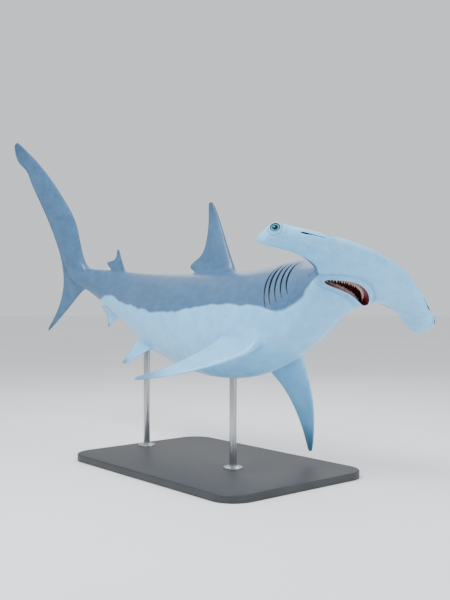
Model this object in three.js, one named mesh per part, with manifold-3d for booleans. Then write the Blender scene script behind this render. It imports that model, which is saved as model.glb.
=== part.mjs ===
// A hammerhead shark at life size, as a still museum model. It swims with its head rolled to its left, its
// mouth a little open and its tail lifted, and two rods carry it over a flat base. Millimetres. +X is the
// way the body points, +Y its left, +Z up. The origin is on the floor, at the middle of the base's
// underside. A place on the animal is (s, y, z): s runs back from the snout along the spine, y to the left
// of it and z over it.

import * as THREE from "three";
import { mergeVertices } from "three/addons/utils/BufferGeometryUtils.js";
import Module from "manifold-3d";

const wasm = await Module();
wasm.setup();

// The spine
const HEAD_END = 410; // the head is rigid ahead of this station
const SPINE_END = 3000;
const SPINE_STEP = 10;
const ANCHOR_STATION = 1060; // the station that stands over ANCHOR
const ANCHOR = new THREE.Vector3(83, 3, 750);

// The pose: how the spine points at HEAD_END and every KNOT_STEP behind it, in degrees
const KNOT_STEP = 500;
const YAW = [-4, 6, 0, 5, 23, 32]; // to the left
const CLIMB = [18.5, 5, -6, -15.5, -19, -19];
const BANK = [-27, -11, 0, 6, 11, 18]; // left side up

// Thin gaps and the mesh
const GAP = 0.3; // between nodes that touch
const COLUMNS = 20; // points in a ring round the body

// Half width, height over the axis and depth under it, at stations down the body
const TRUNK = [
  [300, 122, 100, 76],
  [380, 135, 146, 116],
  [450, 148, 184, 162],
  [520, 158, 204, 208],
  [660, 170, 213, 268],
  [860, 185, 213, 303],
  [1110, 190, 215, 298],
  [1360, 180, 208, 262],
  [1620, 147, 180, 198],
  [1860, 104, 142, 134],
  [2060, 68, 104, 92],
  [2180, 50, 76, 70],
  [2230, 44, 62, 58],
];
const RINGS = [
  360, 430, 500, 565, 635, 710, 785, 860, 935, 1025, 1115, 1205,
  1295, 1450, 1538, 1625, 1715, 1805, 1892, 1977, 2063, 2125, 2180, 2230,
];
const EGG = 0.08; // how much narrower the back is than the belly

// The middle of the head: its front edge, then points back from it as (s, z over, z under). The last of
// them is where the neck starts.
const NECK_HALF = 3; // rows on each side of the middle that the neck grows from
const SNOUT_SIDE_Y = 132;
const SNOUT_MIDDLE = { front: 0, points: [[16, 20, 21], [66, 40, 38], [138, 58, 50], [216, 78, 66]] };
const SNOUT_SIDE = { front: 19, points: [[33, 20, 19], [82, 38, 33], [148, 47, 41], [214, 56, 50]] };
const NECK_CORNER = [[272, 38], [296, -2], [272, -38]]; // the neck's side at the blade, top to bottom
const HEAD_DROP = 3;
// The blade of the hammer, row by row outward: y, front edge, rear edge, thickness over and under, middle's
// height
const BLADE = [
  [182, 38, 276, 38, 34, -4],
  [236, 60, 264, 36, 32, -5],
  [290, 87, 265, 35, 31, -6],
  [341, 117, 283, 36, 32, -8],
  [388, 141, 306, 40, 36, -10],
  [425, 164, 318, 40, 36, -12],
  [448, 198, 296, 28, 26, -13],
];
const BLADE_CHORD = [1, 0.86, 0.66, 0.43, 0.22, 0.06, 0]; // places of a row's points, rear edge to front
const BLADE_HEIGHT = [0, 0.52, 0.86, 1.04, 1.0, 0.62, 0];

// Fins. Each section has its front edge and rear edge as (back, out) from where the fin starts, and a half
// thickness.
const FIRST_DORSAL = {
  start: 985,
  chord: 285,
  angle: 0,
  root: 25,
  cut: 14,
  sections: [
    [10, 30, 392, 27, 17],
    [44, 84, 262, 78, 14],
    [80, 150, 236, 146, 11],
    [118, 224, 226, 222, 8.5],
    [156, 292, 228, 290, 6.5],
    [196, 352, 236, 350, 4],
  ],
};
const SECOND_DORSAL = {
  start: 1906,
  chord: 122,
  angle: 0,
  root: 12,
  cut: 8,
  sections: [
    [6, 18, 216, 16, 8],
    [32, 46, 118, 44, 6],
    [58, 78, 102, 78, 4.5],
    [78, 114, 100, 114, 3],
  ],
};
const ANAL = {
  start: 1910,
  chord: 130,
  angle: 180,
  root: 12,
  cut: 8,
  sections: [
    [8, 17, 214, 15, 8],
    [42, 48, 130, 44, 6],
    [76, 86, 116, 84, 4.5],
    [100, 114, 118, 112, 3],
  ],
};
const PECTORAL = {
  start: 656,
  chord: 204,
  angle: 130,
  root: 23,
  cut: 15,
  sections: [
    [6, 32, 262, 28, 17],
    [28, 96, 228, 92, 14],
    [62, 192, 216, 188, 11],
    [112, 292, 226, 288, 8.5],
    [176, 384, 246, 380, 6.5],
    [248, 474, 278, 470, 4],
  ],
};
const PELVIC = {
  start: 1472,
  chord: 132,
  angle: 146,
  root: 14,
  cut: 10,
  sections: [
    [6, 20, 176, 18, 9],
    [32, 60, 142, 58, 7],
    [62, 106, 136, 104, 5],
    [90, 144, 130, 142, 3.5],
  ],
};
// How each paired fin is spread, in degrees: below level in its own body's frame, swept back, and canted
// with the rear of its root higher
const PECTORAL_SPREAD = {
  right: { droop: 40, sweep: 25, cant: 19 },
  left: { droop: 51, sweep: -8, cant: 0 },
};
const PELVIC_SPREAD = { droop: 46, sweep: 4, cant: 0 };

// The tail: rings of the upper lobe as front edge (s, z), rear edge (s, z) and half thickness
const UPPER_LOBE = [
  [2285, 95, 2318, -72, 34],
  [2334, 202, 2402, -8, 26],
  [2384, 319, 2468, 86, 20],
  [2489, 409, 2583, 250, 14.8],
  [2611, 510, 2701, 389, 11.5],
  [2686, 561, 2753, 458, 9.5],
  [2729, 590, 2778, 514, 8],
  [2784, 619, 2854, 535, 7],
  [2854, 658, 2882, 622, 5],
];
const LOWER_LOBE = [
  [2264, -96, 2430, -6, 21],
  [2308, -168, 2408, -88, 16],
  [2358, -250, 2408, -186, 12],
  [2412, -338, 2430, -292, 8],
  [2466, -424, 2472, -400, 4.5],
];
const LOWER_LOBE_CUT = [2248, -110, 2462, 7.5]; // the line along which it is parted from the tail

// Stations where the body is parted, each named for what lies ahead of it
const CUTS = [352, 648, 898, 1335, 1760, 2244];
const CUT_REACH = 360;
const HAMMER_CUT_Y = 154;

// The mouth: an arch from corner to corner that leads up and back into the head
const MOUTH = {
  halfWidth: 116,
  front: 172,
  back: 96, // how far the corners lie behind the front
  open: 64,
  lift: [-50, -68], // the upper and the lower lip's height
  rise: 10, // how much higher they are at the corners
  slope: 37,
  depth: 96,
  steps: 10,
};
// The gums: how far in they lie, and the teeth along each
const GUM = {
  radius: 8.5,
  reach: 0.86,
  inset: 2,
  upper: 22,
  lower: 34,
  teeth: 24,
  tooth: 20,
  toothWidth: 7.5,
};
const TONGUE = { along: 70, lift: 4, length: 46, width: 92, height: 12 };

// The eyes stand at the outer front corners of the hammer
const EYE = { s: 184, y: 433, z: -10, radius: 27, forward: 44, down: 8, stands: 9, lid: 5 };
const EYE_SEGMENTS = 14;

// The nostrils: a slit in the front edge beside each eye, and the groove that leads inward from it
const NOSTRIL = { y: [352, 320], radius: 6, back: 3, under: -11 };
const NASAL_GROOVE = { y: [330, 220], radius: 3, back: 2, under: -9 };

// The gill slits
const GILLS = {
  stations: [478, 514, 550, 586, 618],
  angle: 74,
  span: 33,
  width: 5,
  depth: 15,
  bow: 15,
  lean: 12,
};

// The stand
const BASE = { length: 1300, width: 860, height: 36, corner: 120, bevel: 6 };
const ROD_RADIUS = 17;
const ROD_STATIONS = { front: 960, rear: 1670 };
const ROD_SINK = 40; // how far a rod goes into the body
const COLLAR = { radius: 46, height: 12 };

const rad = THREE.MathUtils.degToRad;
const deg = THREE.MathUtils.radToDeg;
const lerp = THREE.MathUtils.lerp;

// A smooth curve through values at rising keys, held flat past its ends
function through(keys, values) {
  const last = keys.length - 1;
  const slope = (i) => {
    const a = Math.max(i - 1, 0);
    const b = Math.min(i + 1, last);
    return (values[b] - values[a]) / (keys[b] - keys[a]);
  };
  return (x) => {
    if (x <= keys[0]) return values[0];
    if (x >= keys[last]) return values[last];
    const i = keys.findIndex((key) => key > x) - 1;
    const span = keys[i + 1] - keys[i];
    const t = (x - keys[i]) / span;
    const rise = t * t * (3 - 2 * t);
    const tangents = slope(i) * t * (1 - t) ** 2 - slope(i + 1) * t * t * (1 - t);
    return lerp(values[i], values[i + 1], rise) + span * tangents;
  };
}

const knots = YAW.map((_, i) => HEAD_END + i * KNOT_STEP);
const yawAt = through(knots, YAW);
const climbAt = through(knots, CLIMB);
const bankAt = through(knots, BANK);
const trunkStations = TRUNK.map((row) => row[0]);
const [widthAt, overAt, underAt] = [1, 2, 3].map((k) =>
  through(
    trunkStations,
    TRUNK.map((row) => row[k]),
  ),
);

// The way the body points at a station: forward, left and up
function axesAt(s) {
  const [yaw, climb, bank] = [yawAt(s), climbAt(s), bankAt(s)].map(rad);
  const forward = new THREE.Vector3(
    Math.cos(climb) * Math.cos(yaw),
    Math.cos(climb) * Math.sin(yaw),
    Math.sin(climb),
  );
  const left = new THREE.Vector3(-Math.sin(yaw), Math.cos(yaw), 0).applyAxisAngle(forward, bank);
  return { forward, left, up: forward.clone().cross(left) };
}

// The spine's own line, from the snout back
const spineLine = [new THREE.Vector3()];
for (let s = SPINE_STEP; s <= SPINE_END; s += SPINE_STEP) {
  const { forward } = axesAt(s - SPINE_STEP / 2);
  spineLine.push(spineLine.at(-1).clone().addScaledVector(forward, -SPINE_STEP));
}
const shift = ANCHOR.clone().sub(spineLine[ANCHOR_STATION / SPINE_STEP]);
spineLine.forEach((point) => point.add(shift));

// A place on the animal, bent with its spine
function place(s, y, z) {
  const { left, up } = axesAt(s);
  const step = Math.min(Math.max(s / SPINE_STEP, 0), spineLine.length - 1.001);
  const i = Math.floor(step);
  const origin = spineLine[i].clone().lerp(spineLine[i + 1], step - i);
  return origin.addScaledVector(left, y).addScaledVector(up, z);
}

// Where the body's side is at a station, at an angle from the back round to the left, and grown by some
function skinPoint(s, degrees, grow = 0) {
  const [sin, cos] = [Math.sin(rad(degrees)), Math.cos(rad(degrees))];
  const y = (widthAt(s) + grow) * sin * (1 - EGG * cos);
  const z = ((cos > 0 ? overAt(s) : underAt(s)) + grow) * cos;
  return place(s, y, z);
}

const mean = (vectors) =>
  vectors.reduce((sum, vector) => sum.add(vector), new THREE.Vector3()).divideScalar(vectors.length);

// The cage: points and faces of few corners that one smoothing step turns into the solids' surface
class Cage {
  points = [];
  faces = [];
  grain = null; // the way the faces of a fin are split, the same on both of its sides

  add(point) {
    return this.points.push(point) - 1;
  }

  face(corners) {
    this.faces.push({ corners, grain: this.grain });
  }

  // Faces between two closed rows of points, from one place in the row to another
  join(rowA, rowB, from = 0, to = rowA.length) {
    for (let i = from; i < to; i++) {
      const next = (i + 1) % rowA.length;
      this.face([rowA[i], rowA[next], rowB[next], rowB[i]]);
    }
  }

  // Closes a flat loop that starts at one edge and has the other edge half way round
  close(loop) {
    const count = loop.length;
    const half = count / 2;
    this.face([loop[0], loop[1], loop[count - 1]]);
    for (let i = 1; i < half - 1; i++) {
      this.face([loop[i], loop[i + 1], loop[count - i - 1], loop[count - i]]);
    }
    this.face([loop[half - 1], loop[half], loop[half + 1]]);
  }

  // One step of smoothing: each face becomes one four-sided face for each of its corners
  smoothed() {
    const out = new Cage();
    const facePoints = this.faces.map((face) => mean(face.corners.map((id) => this.points[id])));
    const keyOf = (a, b) => (a < b ? `${a}/${b}` : `${b}/${a}`);
    const edges = new Map();
    const around = this.points.map(() => ({ faces: [], edges: [] }));
    this.faces.forEach(({ corners }, f) => {
      corners.forEach((a, i) => {
        const b = corners[(i + 1) % corners.length];
        const key = keyOf(a, b);
        if (!edges.has(key)) {
          edges.set(key, { faces: [], middle: mean([this.points[a], this.points[b]]) });
          around[a].edges.push(key);
          around[b].edges.push(key);
        }
        edges.get(key).faces.push(f);
        around[a].faces.push(f);
      });
    });
    this.points.forEach((point, id) => {
      const count = around[id].faces.length;
      if (count === 0) {
        out.add(point); // a ring's point that a fin has taken the place of
        return;
      }
      const facing = mean(around[id].faces.map((f) => facePoints[f]));
      const edging = mean(around[id].edges.map((key) => edges.get(key).middle));
      const moved = point.clone().multiplyScalar(count - 3).add(facing).addScaledVector(edging, 2);
      out.add(moved.divideScalar(count));
    });
    const faceIds = facePoints.map((point) => out.add(point));
    edges.forEach((edge) => {
      const between = mean(edge.faces.map((f) => facePoints[f]));
      edge.id = out.add(between.lerp(edge.middle, 0.5));
    });
    this.faces.forEach(({ corners, grain }, f) => {
      out.grain = grain;
      corners.forEach((a, i) => {
        const next = corners[(i + 1) % corners.length];
        const last = corners[(i + corners.length - 1) % corners.length];
        out.face([a, edges.get(keyOf(a, next)).id, faceIds[f], edges.get(keyOf(last, a)).id]);
      });
    });
    return out;
  }

  // A solid of triangles, each four-sided face split along its grain, or else along its shorter diagonal
  solid() {
    const triangles = [];
    this.faces.forEach(({ corners: [a, b, c, d], grain }) => {
      const one = this.points[c].clone().sub(this.points[a]);
      const other = this.points[d].clone().sub(this.points[b]);
      const first = grain
        ? Math.abs(one.dot(grain)) * other.length() >= Math.abs(other.dot(grain)) * one.length()
        : one.length() <= other.length();
      if (first) triangles.push(a, b, c, a, c, d);
      else triangles.push(a, b, d, b, c, d);
    });
    return meshSolid(this.points, triangles);
  }
}

function meshSolid(points, triangles) {
  const mesh = new wasm.Mesh({
    numProp: 3,
    vertProperties: new Float32Array(points.flatMap((point) => point.toArray())),
    triVerts: new Uint32Array(triangles),
  });
  return new wasm.Manifold(mesh);
}

function geometrySolid(geometry) {
  geometry.deleteAttribute("normal");
  geometry.deleteAttribute("uv");
  const merged = mergeVertices(geometry, 1e-4);
  const mesh = new wasm.Mesh({
    numProp: 3,
    vertProperties: new Float32Array(merged.attributes.position.array),
    triVerts: new Uint32Array(merged.index.array),
  });
  return new wasm.Manifold(mesh);
}

// A solid through rings of points, each end closed by a fan round its middle
function loft(rings) {
  const count = rings[0].length;
  const points = rings.flat();
  const triangles = [];
  for (let r = 0; r < rings.length - 1; r++) {
    for (let i = 0; i < count; i++) {
      const next = (i + 1) % count;
      const [a, b, c, d] = [r * count + i, r * count + next, (r + 1) * count + next, (r + 1) * count + i];
      triangles.push(a, b, c, a, c, d);
    }
  }
  const [first, last] = [points.length, points.length + 1];
  points.push(mean(rings[0]), mean(rings.at(-1)));
  const end = (rings.length - 1) * count;
  for (let i = 0; i < count; i++) {
    const next = (i + 1) % count;
    triangles.push(first, next, i, last, end + i, end + next);
  }
  const solid = meshSolid(points, triangles);
  if (solid.volume() > 0) return solid;
  const flipped = [];
  for (let i = 0; i < triangles.length; i += 3) {
    flipped.push(triangles[i], triangles[i + 2], triangles[i + 1]);
  }
  return meshSolid(points, flipped);
}

const cage = new Cage();

// The head: rows of points from its right end to its left end, each row a loop that starts at the rear edge
const snoutY = (row) => (SNOUT_SIDE_Y * row) / NECK_HALF;
function snoutRow(row) {
  const side = (row / NECK_HALF) ** 2;
  const y = snoutY(row);
  const sunk = -HEAD_DROP * side;
  const at = (k, column) => lerp(SNOUT_MIDDLE.points[k][column], SNOUT_SIDE.points[k][column], side);
  const top = [3, 2, 1, 0].map((k) => place(at(k, 0), y, sunk + at(k, 1)));
  const bottom = [0, 1, 2, 3].map((k) => place(at(k, 0), y, sunk - at(k, 2)));
  const front = place(lerp(SNOUT_MIDDLE.front, SNOUT_SIDE.front, side), y, sunk);
  const loop = [null, null, ...[...top, front, ...bottom].map((point) => cage.add(point)), null];
  if (Math.abs(row) === NECK_HALF) {
    [loop[1], loop[0], loop[11]] = NECK_CORNER.map(([s, z]) => cage.add(place(s, y, z)));
  }
  return loop;
}
function bladeRow([y, front, rear, over, under, z], side) {
  const at = (k, half) => place(lerp(front, rear, BLADE_CHORD[k]), side * y, z + half * BLADE_HEIGHT[k]);
  const top = [0, 1, 2, 3, 4, 5].map((k) => at(k, over));
  const bottom = [6, 5, 4, 3, 2, 1].map((k) => at(k, -under));
  return [...top, ...bottom].map((point) => cage.add(point));
}
const snout = [-3, -2, -1, 0, 1, 2, 3].map(snoutRow);
const headRows = [
  ...BLADE.toReversed().map((row) => bladeRow(row, -1)),
  ...snout,
  ...BLADE.map((row) => bladeRow(row, 1)),
];
for (let i = 0; i < headRows.length - 1; i++) {
  const overNeck = i >= BLADE.length && i < BLADE.length + 2 * NECK_HALF;
  if (overNeck) cage.join(headRows[i], headRows[i + 1], 2, 10);
  else cage.join(headRows[i], headRows[i + 1]);
}
cage.close(headRows.at(-1));
cage.close([headRows[0][0], ...headRows[0].slice(1).reverse()]);

// The trunk: rings from the back of the head to the tail
const column = (k) => (360 / COLUMNS) * k;
const neckRing = [
  ...[3, 4, 5, 6].map((row) => snout[row][2]),
  ...[1, 0, 11].map((k) => snout[6][k]),
  ...[6, 5, 4, 3, 2, 1, 0].map((row) => snout[row][10]),
  ...[11, 0, 1].map((k) => snout[0][k]),
  ...[0, 1, 2].map((row) => snout[row][2]),
];
const rings = RINGS.map((s) => Array.from({ length: COLUMNS }, (_, k) => cage.add(skinPoint(s, column(k)))));
const napeRing = neckRing.map((id, k) => {
  const behind = cage.points[rings[0][k]];
  return cage.add(cage.points[id].clone().lerp(behind, 0.55));
});

// The tail's rings: like the trunk's, but flat, from the front edge round to the rear edge
function tailRing([frontS, frontZ, rearS, rearZ, half], order) {
  const flat = Math.min(order / 3, 1);
  return Array.from({ length: COLUMNS }, (_, k) => {
    const angle = rad(column(k));
    const c = (1 - Math.cos(angle)) / 2;
    const y = half * Math.sin(angle) * lerp(1, 1.25 - 0.75 * c, flat);
    return cage.add(place(lerp(frontS, rearS, c), y, lerp(frontZ, rearZ, c)));
  });
}
const tube = [neckRing, napeRing, ...rings, ...UPPER_LOBE.map(tailRing)];
const tubeRow = (s) => 2 + RINGS.indexOf(s);

// A fin grows from a patch of the tube's faces, two columns wide. Its loops of points run from the front
// edge along the side of the higher columns to the rear edge, and back along the other side.
const openings = new Set();
function patch(firstRow, lastRow, middleColumn) {
  const wrapped = (offset) => (middleColumn + offset + COLUMNS) % COLUMNS;
  for (let row = firstRow; row < lastRow; row++) {
    openings.add(`${row}/${wrapped(-1)}`);
    openings.add(`${row}/${wrapped(0)}`);
  }
  const rows = Array.from({ length: lastRow - firstRow + 1 }, (_, i) => firstRow + i);
  return [
    tube[firstRow][wrapped(0)],
    ...rows.map((row) => tube[row][wrapped(1)]),
    tube[lastRow][wrapped(0)],
    ...rows.toReversed().map((row) => tube[row][wrapped(-1)]),
  ];
}

// Where the points of a fin's loop lie along its chord, and how thick it is there, minus on the second side
function foil(count) {
  const half = count / 2;
  return Array.from({ length: count }, (_, i) => {
    const step = i <= half ? i : count - i;
    if (step === 0) return { c: 0, thick: 0 };
    if (step === half) return { c: 1, thick: 0 };
    const c = 0.07 + (0.85 * (step - 1)) / (half - 2);
    const thick = 0.8 + 0.9 * c * (1 - c) - 0.5 * c * c;
    return { c, thick: i < half ? thick : -thick };
  });
}

function growFin(border, loops, grain) {
  cage.grain = grain;
  let previous = border;
  loops.forEach((points) => {
    const loop = points.map((point) => cage.add(point));
    cage.join(previous, loop);
    previous = loop;
  });
  cage.close(previous);
  cage.grain = null;
}

// The loops of a fin: the first on the body's skin, the others from its sections through spot(back, out,
// aside)
function finLoops(fin, count, angle, spot, cant = 0) {
  const shape = foil(count);
  const base = shape.map(({ c, thick }) => {
    const s = fin.start + c * fin.chord;
    const turn = deg(fin.root / widthAt(s)) * Math.sign(thick) * (0.95 - 0.3 * c);
    return skinPoint(s, angle + turn + cant * (c - 0.5), 3);
  });
  const sections = fin.sections.map(([frontBack, frontOut, rearBack, rearOut, half]) =>
    shape.map(({ c, thick }) =>
      spot(lerp(frontBack, rearBack, c), lerp(frontOut, rearOut, c), half * thick),
    ),
  );
  return [base, ...sections];
}

// The thin slabs that part the nodes, and a place on each fin by which its node is found
const finSlabs = [];
const bodySlabs = [];
const markers = {};
function slab(slabs, center, normal, along, length, width) {
  const box = new THREE.BoxGeometry(GAP, length, width);
  const side = normal.clone().cross(along).normalize();
  box.applyMatrix4(new THREE.Matrix4().makeBasis(normal, along, side).setPosition(center));
  slabs.push(geometrySolid(box));
}

// A fin in the animal's own middle plane, bent with the spine
function middleFin(name, fin, firstStation, lastStation) {
  const sign = fin.angle === 0 ? 1 : -1;
  const mid = fin.start + fin.chord / 2;
  const skin = sign > 0 ? overAt(mid) : underAt(mid);
  const border = patch(tubeRow(firstStation), tubeRow(lastStation), fin.angle === 0 ? 0 : COLUMNS / 2);
  const spot = (back, out, aside) => place(fin.start + back, sign * aside, sign * (skin + out));
  const { forward, left, up } = axesAt(mid);
  const grain = up.clone().multiplyScalar(sign).sub(forward);
  growFin(border, finLoops(fin, border.length, fin.angle, spot), grain);
  const over = (s) => place(s, 0, sign * ((sign > 0 ? overAt(s) : underAt(s)) + fin.cut));
  const [a, b] = [over(fin.start - 0.25 * fin.chord), over(fin.start + 1.5 * fin.chord)];
  const along = a.clone().sub(b).normalize();
  const across = along.clone().cross(left).normalize();
  slab(finSlabs, a.clone().lerp(b, 0.5), across, along, a.distanceTo(b), 160);
  const [, , rearBack, rearOut] = fin.sections.at(-2);
  markers[name] = spot(rearBack, rearOut, 0);
}
middleFin("first_dorsal_fin", FIRST_DORSAL, 935, 1295);
middleFin("second_dorsal_fin", SECOND_DORSAL, 1892, 2063);
middleFin("anal_fin", ANAL, 1892, 2063);

// A paired fin, stiff, from the body's frame at its root
function pairedFin(name, fin, side, spread, firstStation, lastStation, middleColumn) {
  const mid = fin.start + fin.chord / 2;
  const angle = side > 0 ? fin.angle : 360 - fin.angle;
  const { forward, left, up } = axesAt(mid);
  const out = left.clone().multiplyScalar(side * Math.cos(rad(spread.droop)));
  out.addScaledVector(up, -Math.sin(rad(spread.droop)));
  const back = forward.clone().negate();
  const normal = back.clone().cross(out);
  out.applyAxisAngle(normal, -rad(spread.sweep));
  back.applyAxisAngle(normal, -rad(spread.sweep));
  back.applyAxisAngle(out, side * rad(spread.cant));
  normal.applyAxisAngle(out, side * rad(spread.cant));
  const root = skinPoint(mid, angle);
  const spot = (b, o, aside) => {
    const along = root.clone().addScaledVector(back, b - fin.chord / 2);
    return along.addScaledVector(out, o).addScaledVector(normal, aside);
  };
  const atColumn = side > 0 ? middleColumn : COLUMNS - middleColumn;
  const border = patch(tubeRow(firstStation), tubeRow(lastStation), atColumn);
  const cant = -side * spread.cant;
  growFin(border, finLoops(fin, border.length, angle, spot, cant), out.clone().add(back));
  const over = (s, turn = 0) => skinPoint(s, angle + turn + (cant * (s - mid)) / fin.chord, fin.cut);
  const [a, b] = [over(fin.start - 0.2 * fin.chord), over(fin.start + 1.35 * fin.chord)];
  const along = a.clone().sub(b).normalize();
  const round = over(mid, 8).sub(over(mid, -8));
  const across = along.clone().cross(round).normalize();
  slab(finSlabs, a.clone().lerp(b, 0.5), across, along, a.distanceTo(b), 150);
  const [, , rearBack, rearOut] = fin.sections.at(-2);
  markers[name] = spot(rearBack, rearOut, 0);
}
pairedFin("pectoral_fin_left", PECTORAL, 1, PECTORAL_SPREAD.left, 635, 860, 7);
pairedFin("pectoral_fin_right", PECTORAL, -1, PECTORAL_SPREAD.right, 635, 860, 7);
pairedFin("pelvic_fin_left", PELVIC, 1, PELVIC_SPREAD, 1450, 1625, 8);
pairedFin("pelvic_fin_right", PELVIC, -1, PELVIC_SPREAD, 1450, 1625, 8);

// The lower lobe of the tail
{
  const lastRing = tubeRow(2230);
  const border = patch(lastRing, lastRing + 3, COLUMNS / 2);
  const shape = foil(border.length);
  const loops = LOWER_LOBE.map(([frontS, frontZ, rearS, rearZ, half]) =>
    shape.map(({ c, thick }) => place(lerp(frontS, rearS, c), -half * thick, lerp(frontZ, rearZ, c))),
  );
  const { forward, left, up } = axesAt(2360);
  growFin(border, loops, up.clone().negate().sub(forward));
  const [s1, z1, s2, z2] = LOWER_LOBE_CUT;
  const [a, b] = [place(s1, 0, z1), place(s2, 0, z2)];
  const along = b.clone().sub(a).normalize();
  const across = along.clone().cross(left).normalize();
  slab(finSlabs, a.clone().lerp(b, 0.5), across, along, a.distanceTo(b), 150);
}

for (let row = 0; row < tube.length - 1; row++) {
  for (let k = 0; k < COLUMNS; k++) {
    if (!openings.has(`${row}/${k}`)) cage.join(tube[row], tube[row + 1], k, k + 1);
  }
}
cage.close(tube.at(-1));

let flesh = cage.smoothed().solid();

// Directions and places on the rigid head
const head = axesAt(0);
const tubeBetween = (points, radius, count = 6) => {
  const rings = points.map((point, i) => {
    const before = points[Math.max(i - 1, 0)];
    const after = points[Math.min(i + 1, points.length - 1)];
    const run = after.clone().sub(before).normalize();
    const side = run.clone().cross(head.up).normalize();
    const over = side.clone().cross(run);
    const r = Array.isArray(radius) ? radius[i] : radius;
    return Array.from({ length: count }, (_, k) => {
      const turn = (2 * Math.PI * k) / count;
      const [cos, sin] = [Math.cos(turn), Math.sin(turn)];
      return point.clone().addScaledVector(side, r * cos).addScaledVector(over, r * sin);
    });
  });
  return loft(rings);
};

// The mouth leads in along `inward`, and `across` points from its roof to its floor
const slope = rad(MOUTH.slope);
const [slopeCos, slopeSin] = [Math.cos(slope), Math.sin(slope)];
const inward = head.forward.clone().multiplyScalar(-slopeCos).addScaledVector(head.up, slopeSin);
const across = head.forward.clone().multiplyScalar(-slopeSin).addScaledVector(head.up, -slopeCos);
function lips(u) {
  const y = MOUTH.halfWidth * u;
  const s = MOUTH.front + MOUTH.back * u * u;
  const round = Math.sqrt(Math.max(1 - u * u, 0));
  const gape = Math.max(MOUTH.open * round, 4);
  const upper = place(s, y, MOUTH.lift[0] + MOUTH.rise * u * u);
  const lower = place(s + gape, y, lerp(MOUTH.lift[1], MOUTH.lift[0], 1 - round) + MOUTH.rise * u * u);
  return { upper, lower, round, width: lower.clone().sub(upper).dot(across) };
}
const moved = (point, along, aside = 0) =>
  point.clone().addScaledVector(inward, along).addScaledVector(across, aside);
const mouthRings = Array.from({ length: MOUTH.steps + 1 }, (_, i) => {
  const { upper, lower, round } = lips(0.985 * Math.sin(((i / MOUTH.steps) * 2 - 1) * (Math.PI / 2)));
  const depth = MOUTH.depth * (0.4 + 0.6 * round);
  const middle = upper.clone().lerp(lower, 0.5);
  const top = [moved(upper, -45), moved(upper, depth)];
  return [...top, moved(middle, depth + 8), moved(lower, depth), moved(lower, -45)];
});
const mouth = loft(mouthRings);

// Gums with their teeth, one bar along each lip
function gum(lip, [reach, along], side) {
  const steps = 8;
  const spots = Array.from({ length: steps + 1 }, (_, i) => {
    const u = GUM.reach * ((2 * i) / steps - 1);
    const at = lips(u);
    return { point: moved(at[lip], along, reach * side), radius: GUM.radius * Math.min(1, at.width / 27) };
  });
  const points = spots.map((spot) => spot.point);
  const bar = (grow) =>
    tubeBetween(
      points,
      spots.map((spot) => spot.radius + grow),
    );
  const teeth = [];
  for (let k = 0; k < GUM.teeth; k++) {
    const t = ((k + 0.5) / GUM.teeth) * steps;
    const i = Math.min(Math.floor(t), steps - 1);
    const root = points[i].clone().lerp(points[i + 1], t - i);
    const scale = lerp(spots[i].radius, spots[i + 1].radius, t - i) / GUM.radius;
    const run = points[i + 1].clone().sub(points[i]).normalize();
    const point = inward.clone().multiplyScalar(-0.78).addScaledVector(across, 0.62 * side).normalize();
    const thick = point.clone().cross(run).normalize();
    const corner = (a, b, up) =>
      root
        .clone()
        .addScaledVector(run, a * (GUM.toothWidth / 2) * scale)
        .addScaledVector(thick, b * 2.6 * scale)
        .addScaledVector(point, up * scale);
    const gumCorners = [corner(-1, -1, 2), corner(1, -1, 2), corner(1, 1, 2), corner(-1, 1, 2)];
    const corners = [...gumCorners, corner(0, 0, GUM.tooth)];
    teeth.push(meshSolid(corners, [0, 2, 1, 0, 3, 2, 0, 1, 4, 1, 2, 4, 2, 3, 4, 3, 0, 4]));
  }
  return { solid: wasm.Manifold.union([bar(0), ...teeth]), seat: bar(GAP) };
}
const upperJaw = gum("upper", [GUM.inset, GUM.upper], 1);
const lowerJaw = gum("lower", [GUM.inset, GUM.lower], -1);

function ball(center, axes, radii, segments = EYE_SEGMENTS) {
  const geometry = new THREE.SphereGeometry(1, segments, Math.round(segments * 0.6));
  geometry.scale(...radii);
  geometry.applyMatrix4(new THREE.Matrix4().makeBasis(...axes).setPosition(center));
  return geometrySolid(geometry);
}
const tongueAt = moved(lips(0).lower, TONGUE.along, -TONGUE.lift);
const tongueAxes = [inward, head.left, across];
const tongueSolid = (grow) =>
  ball(
    tongueAt,
    tongueAxes,
    [TONGUE.length / 2, TONGUE.width / 2, TONGUE.height].map((size) => size + grow),
    12,
  );

// The eyes, each in a socket with a rim
function eye(side) {
  const [turn, dip] = [rad(EYE.forward), rad(EYE.down)];
  const look = head.left.clone().multiplyScalar(side * Math.cos(turn) * Math.cos(dip));
  look.addScaledVector(head.forward, Math.sin(turn) * Math.cos(dip));
  look.addScaledVector(head.up, -Math.sin(dip));
  const up = head.up.clone().addScaledVector(look, -head.up.dot(look)).normalize();
  const aside = up.clone().cross(look);
  const surface = place(EYE.s, side * EYE.y, EYE.z);
  const center = surface.clone().addScaledVector(look, EYE.stands - EYE.radius);
  const axes = [aside, up, look];
  const rim = new THREE.TorusGeometry(EYE.radius - 1, EYE.lid, 5, EYE_SEGMENTS);
  const seated = surface.addScaledVector(look, -EYE.lid * 0.9);
  rim.applyMatrix4(new THREE.Matrix4().makeBasis(...axes).setPosition(seated));
  const size = (grow) => Array(3).fill(EYE.radius + grow);
  const [solid, seat] = [0, GAP].map((grow) => ball(center, axes, size(grow)));
  return { solid, seat, rim: geometrySolid(rim) };
}
const eyes = { left: eye(1), right: eye(-1) };

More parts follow.
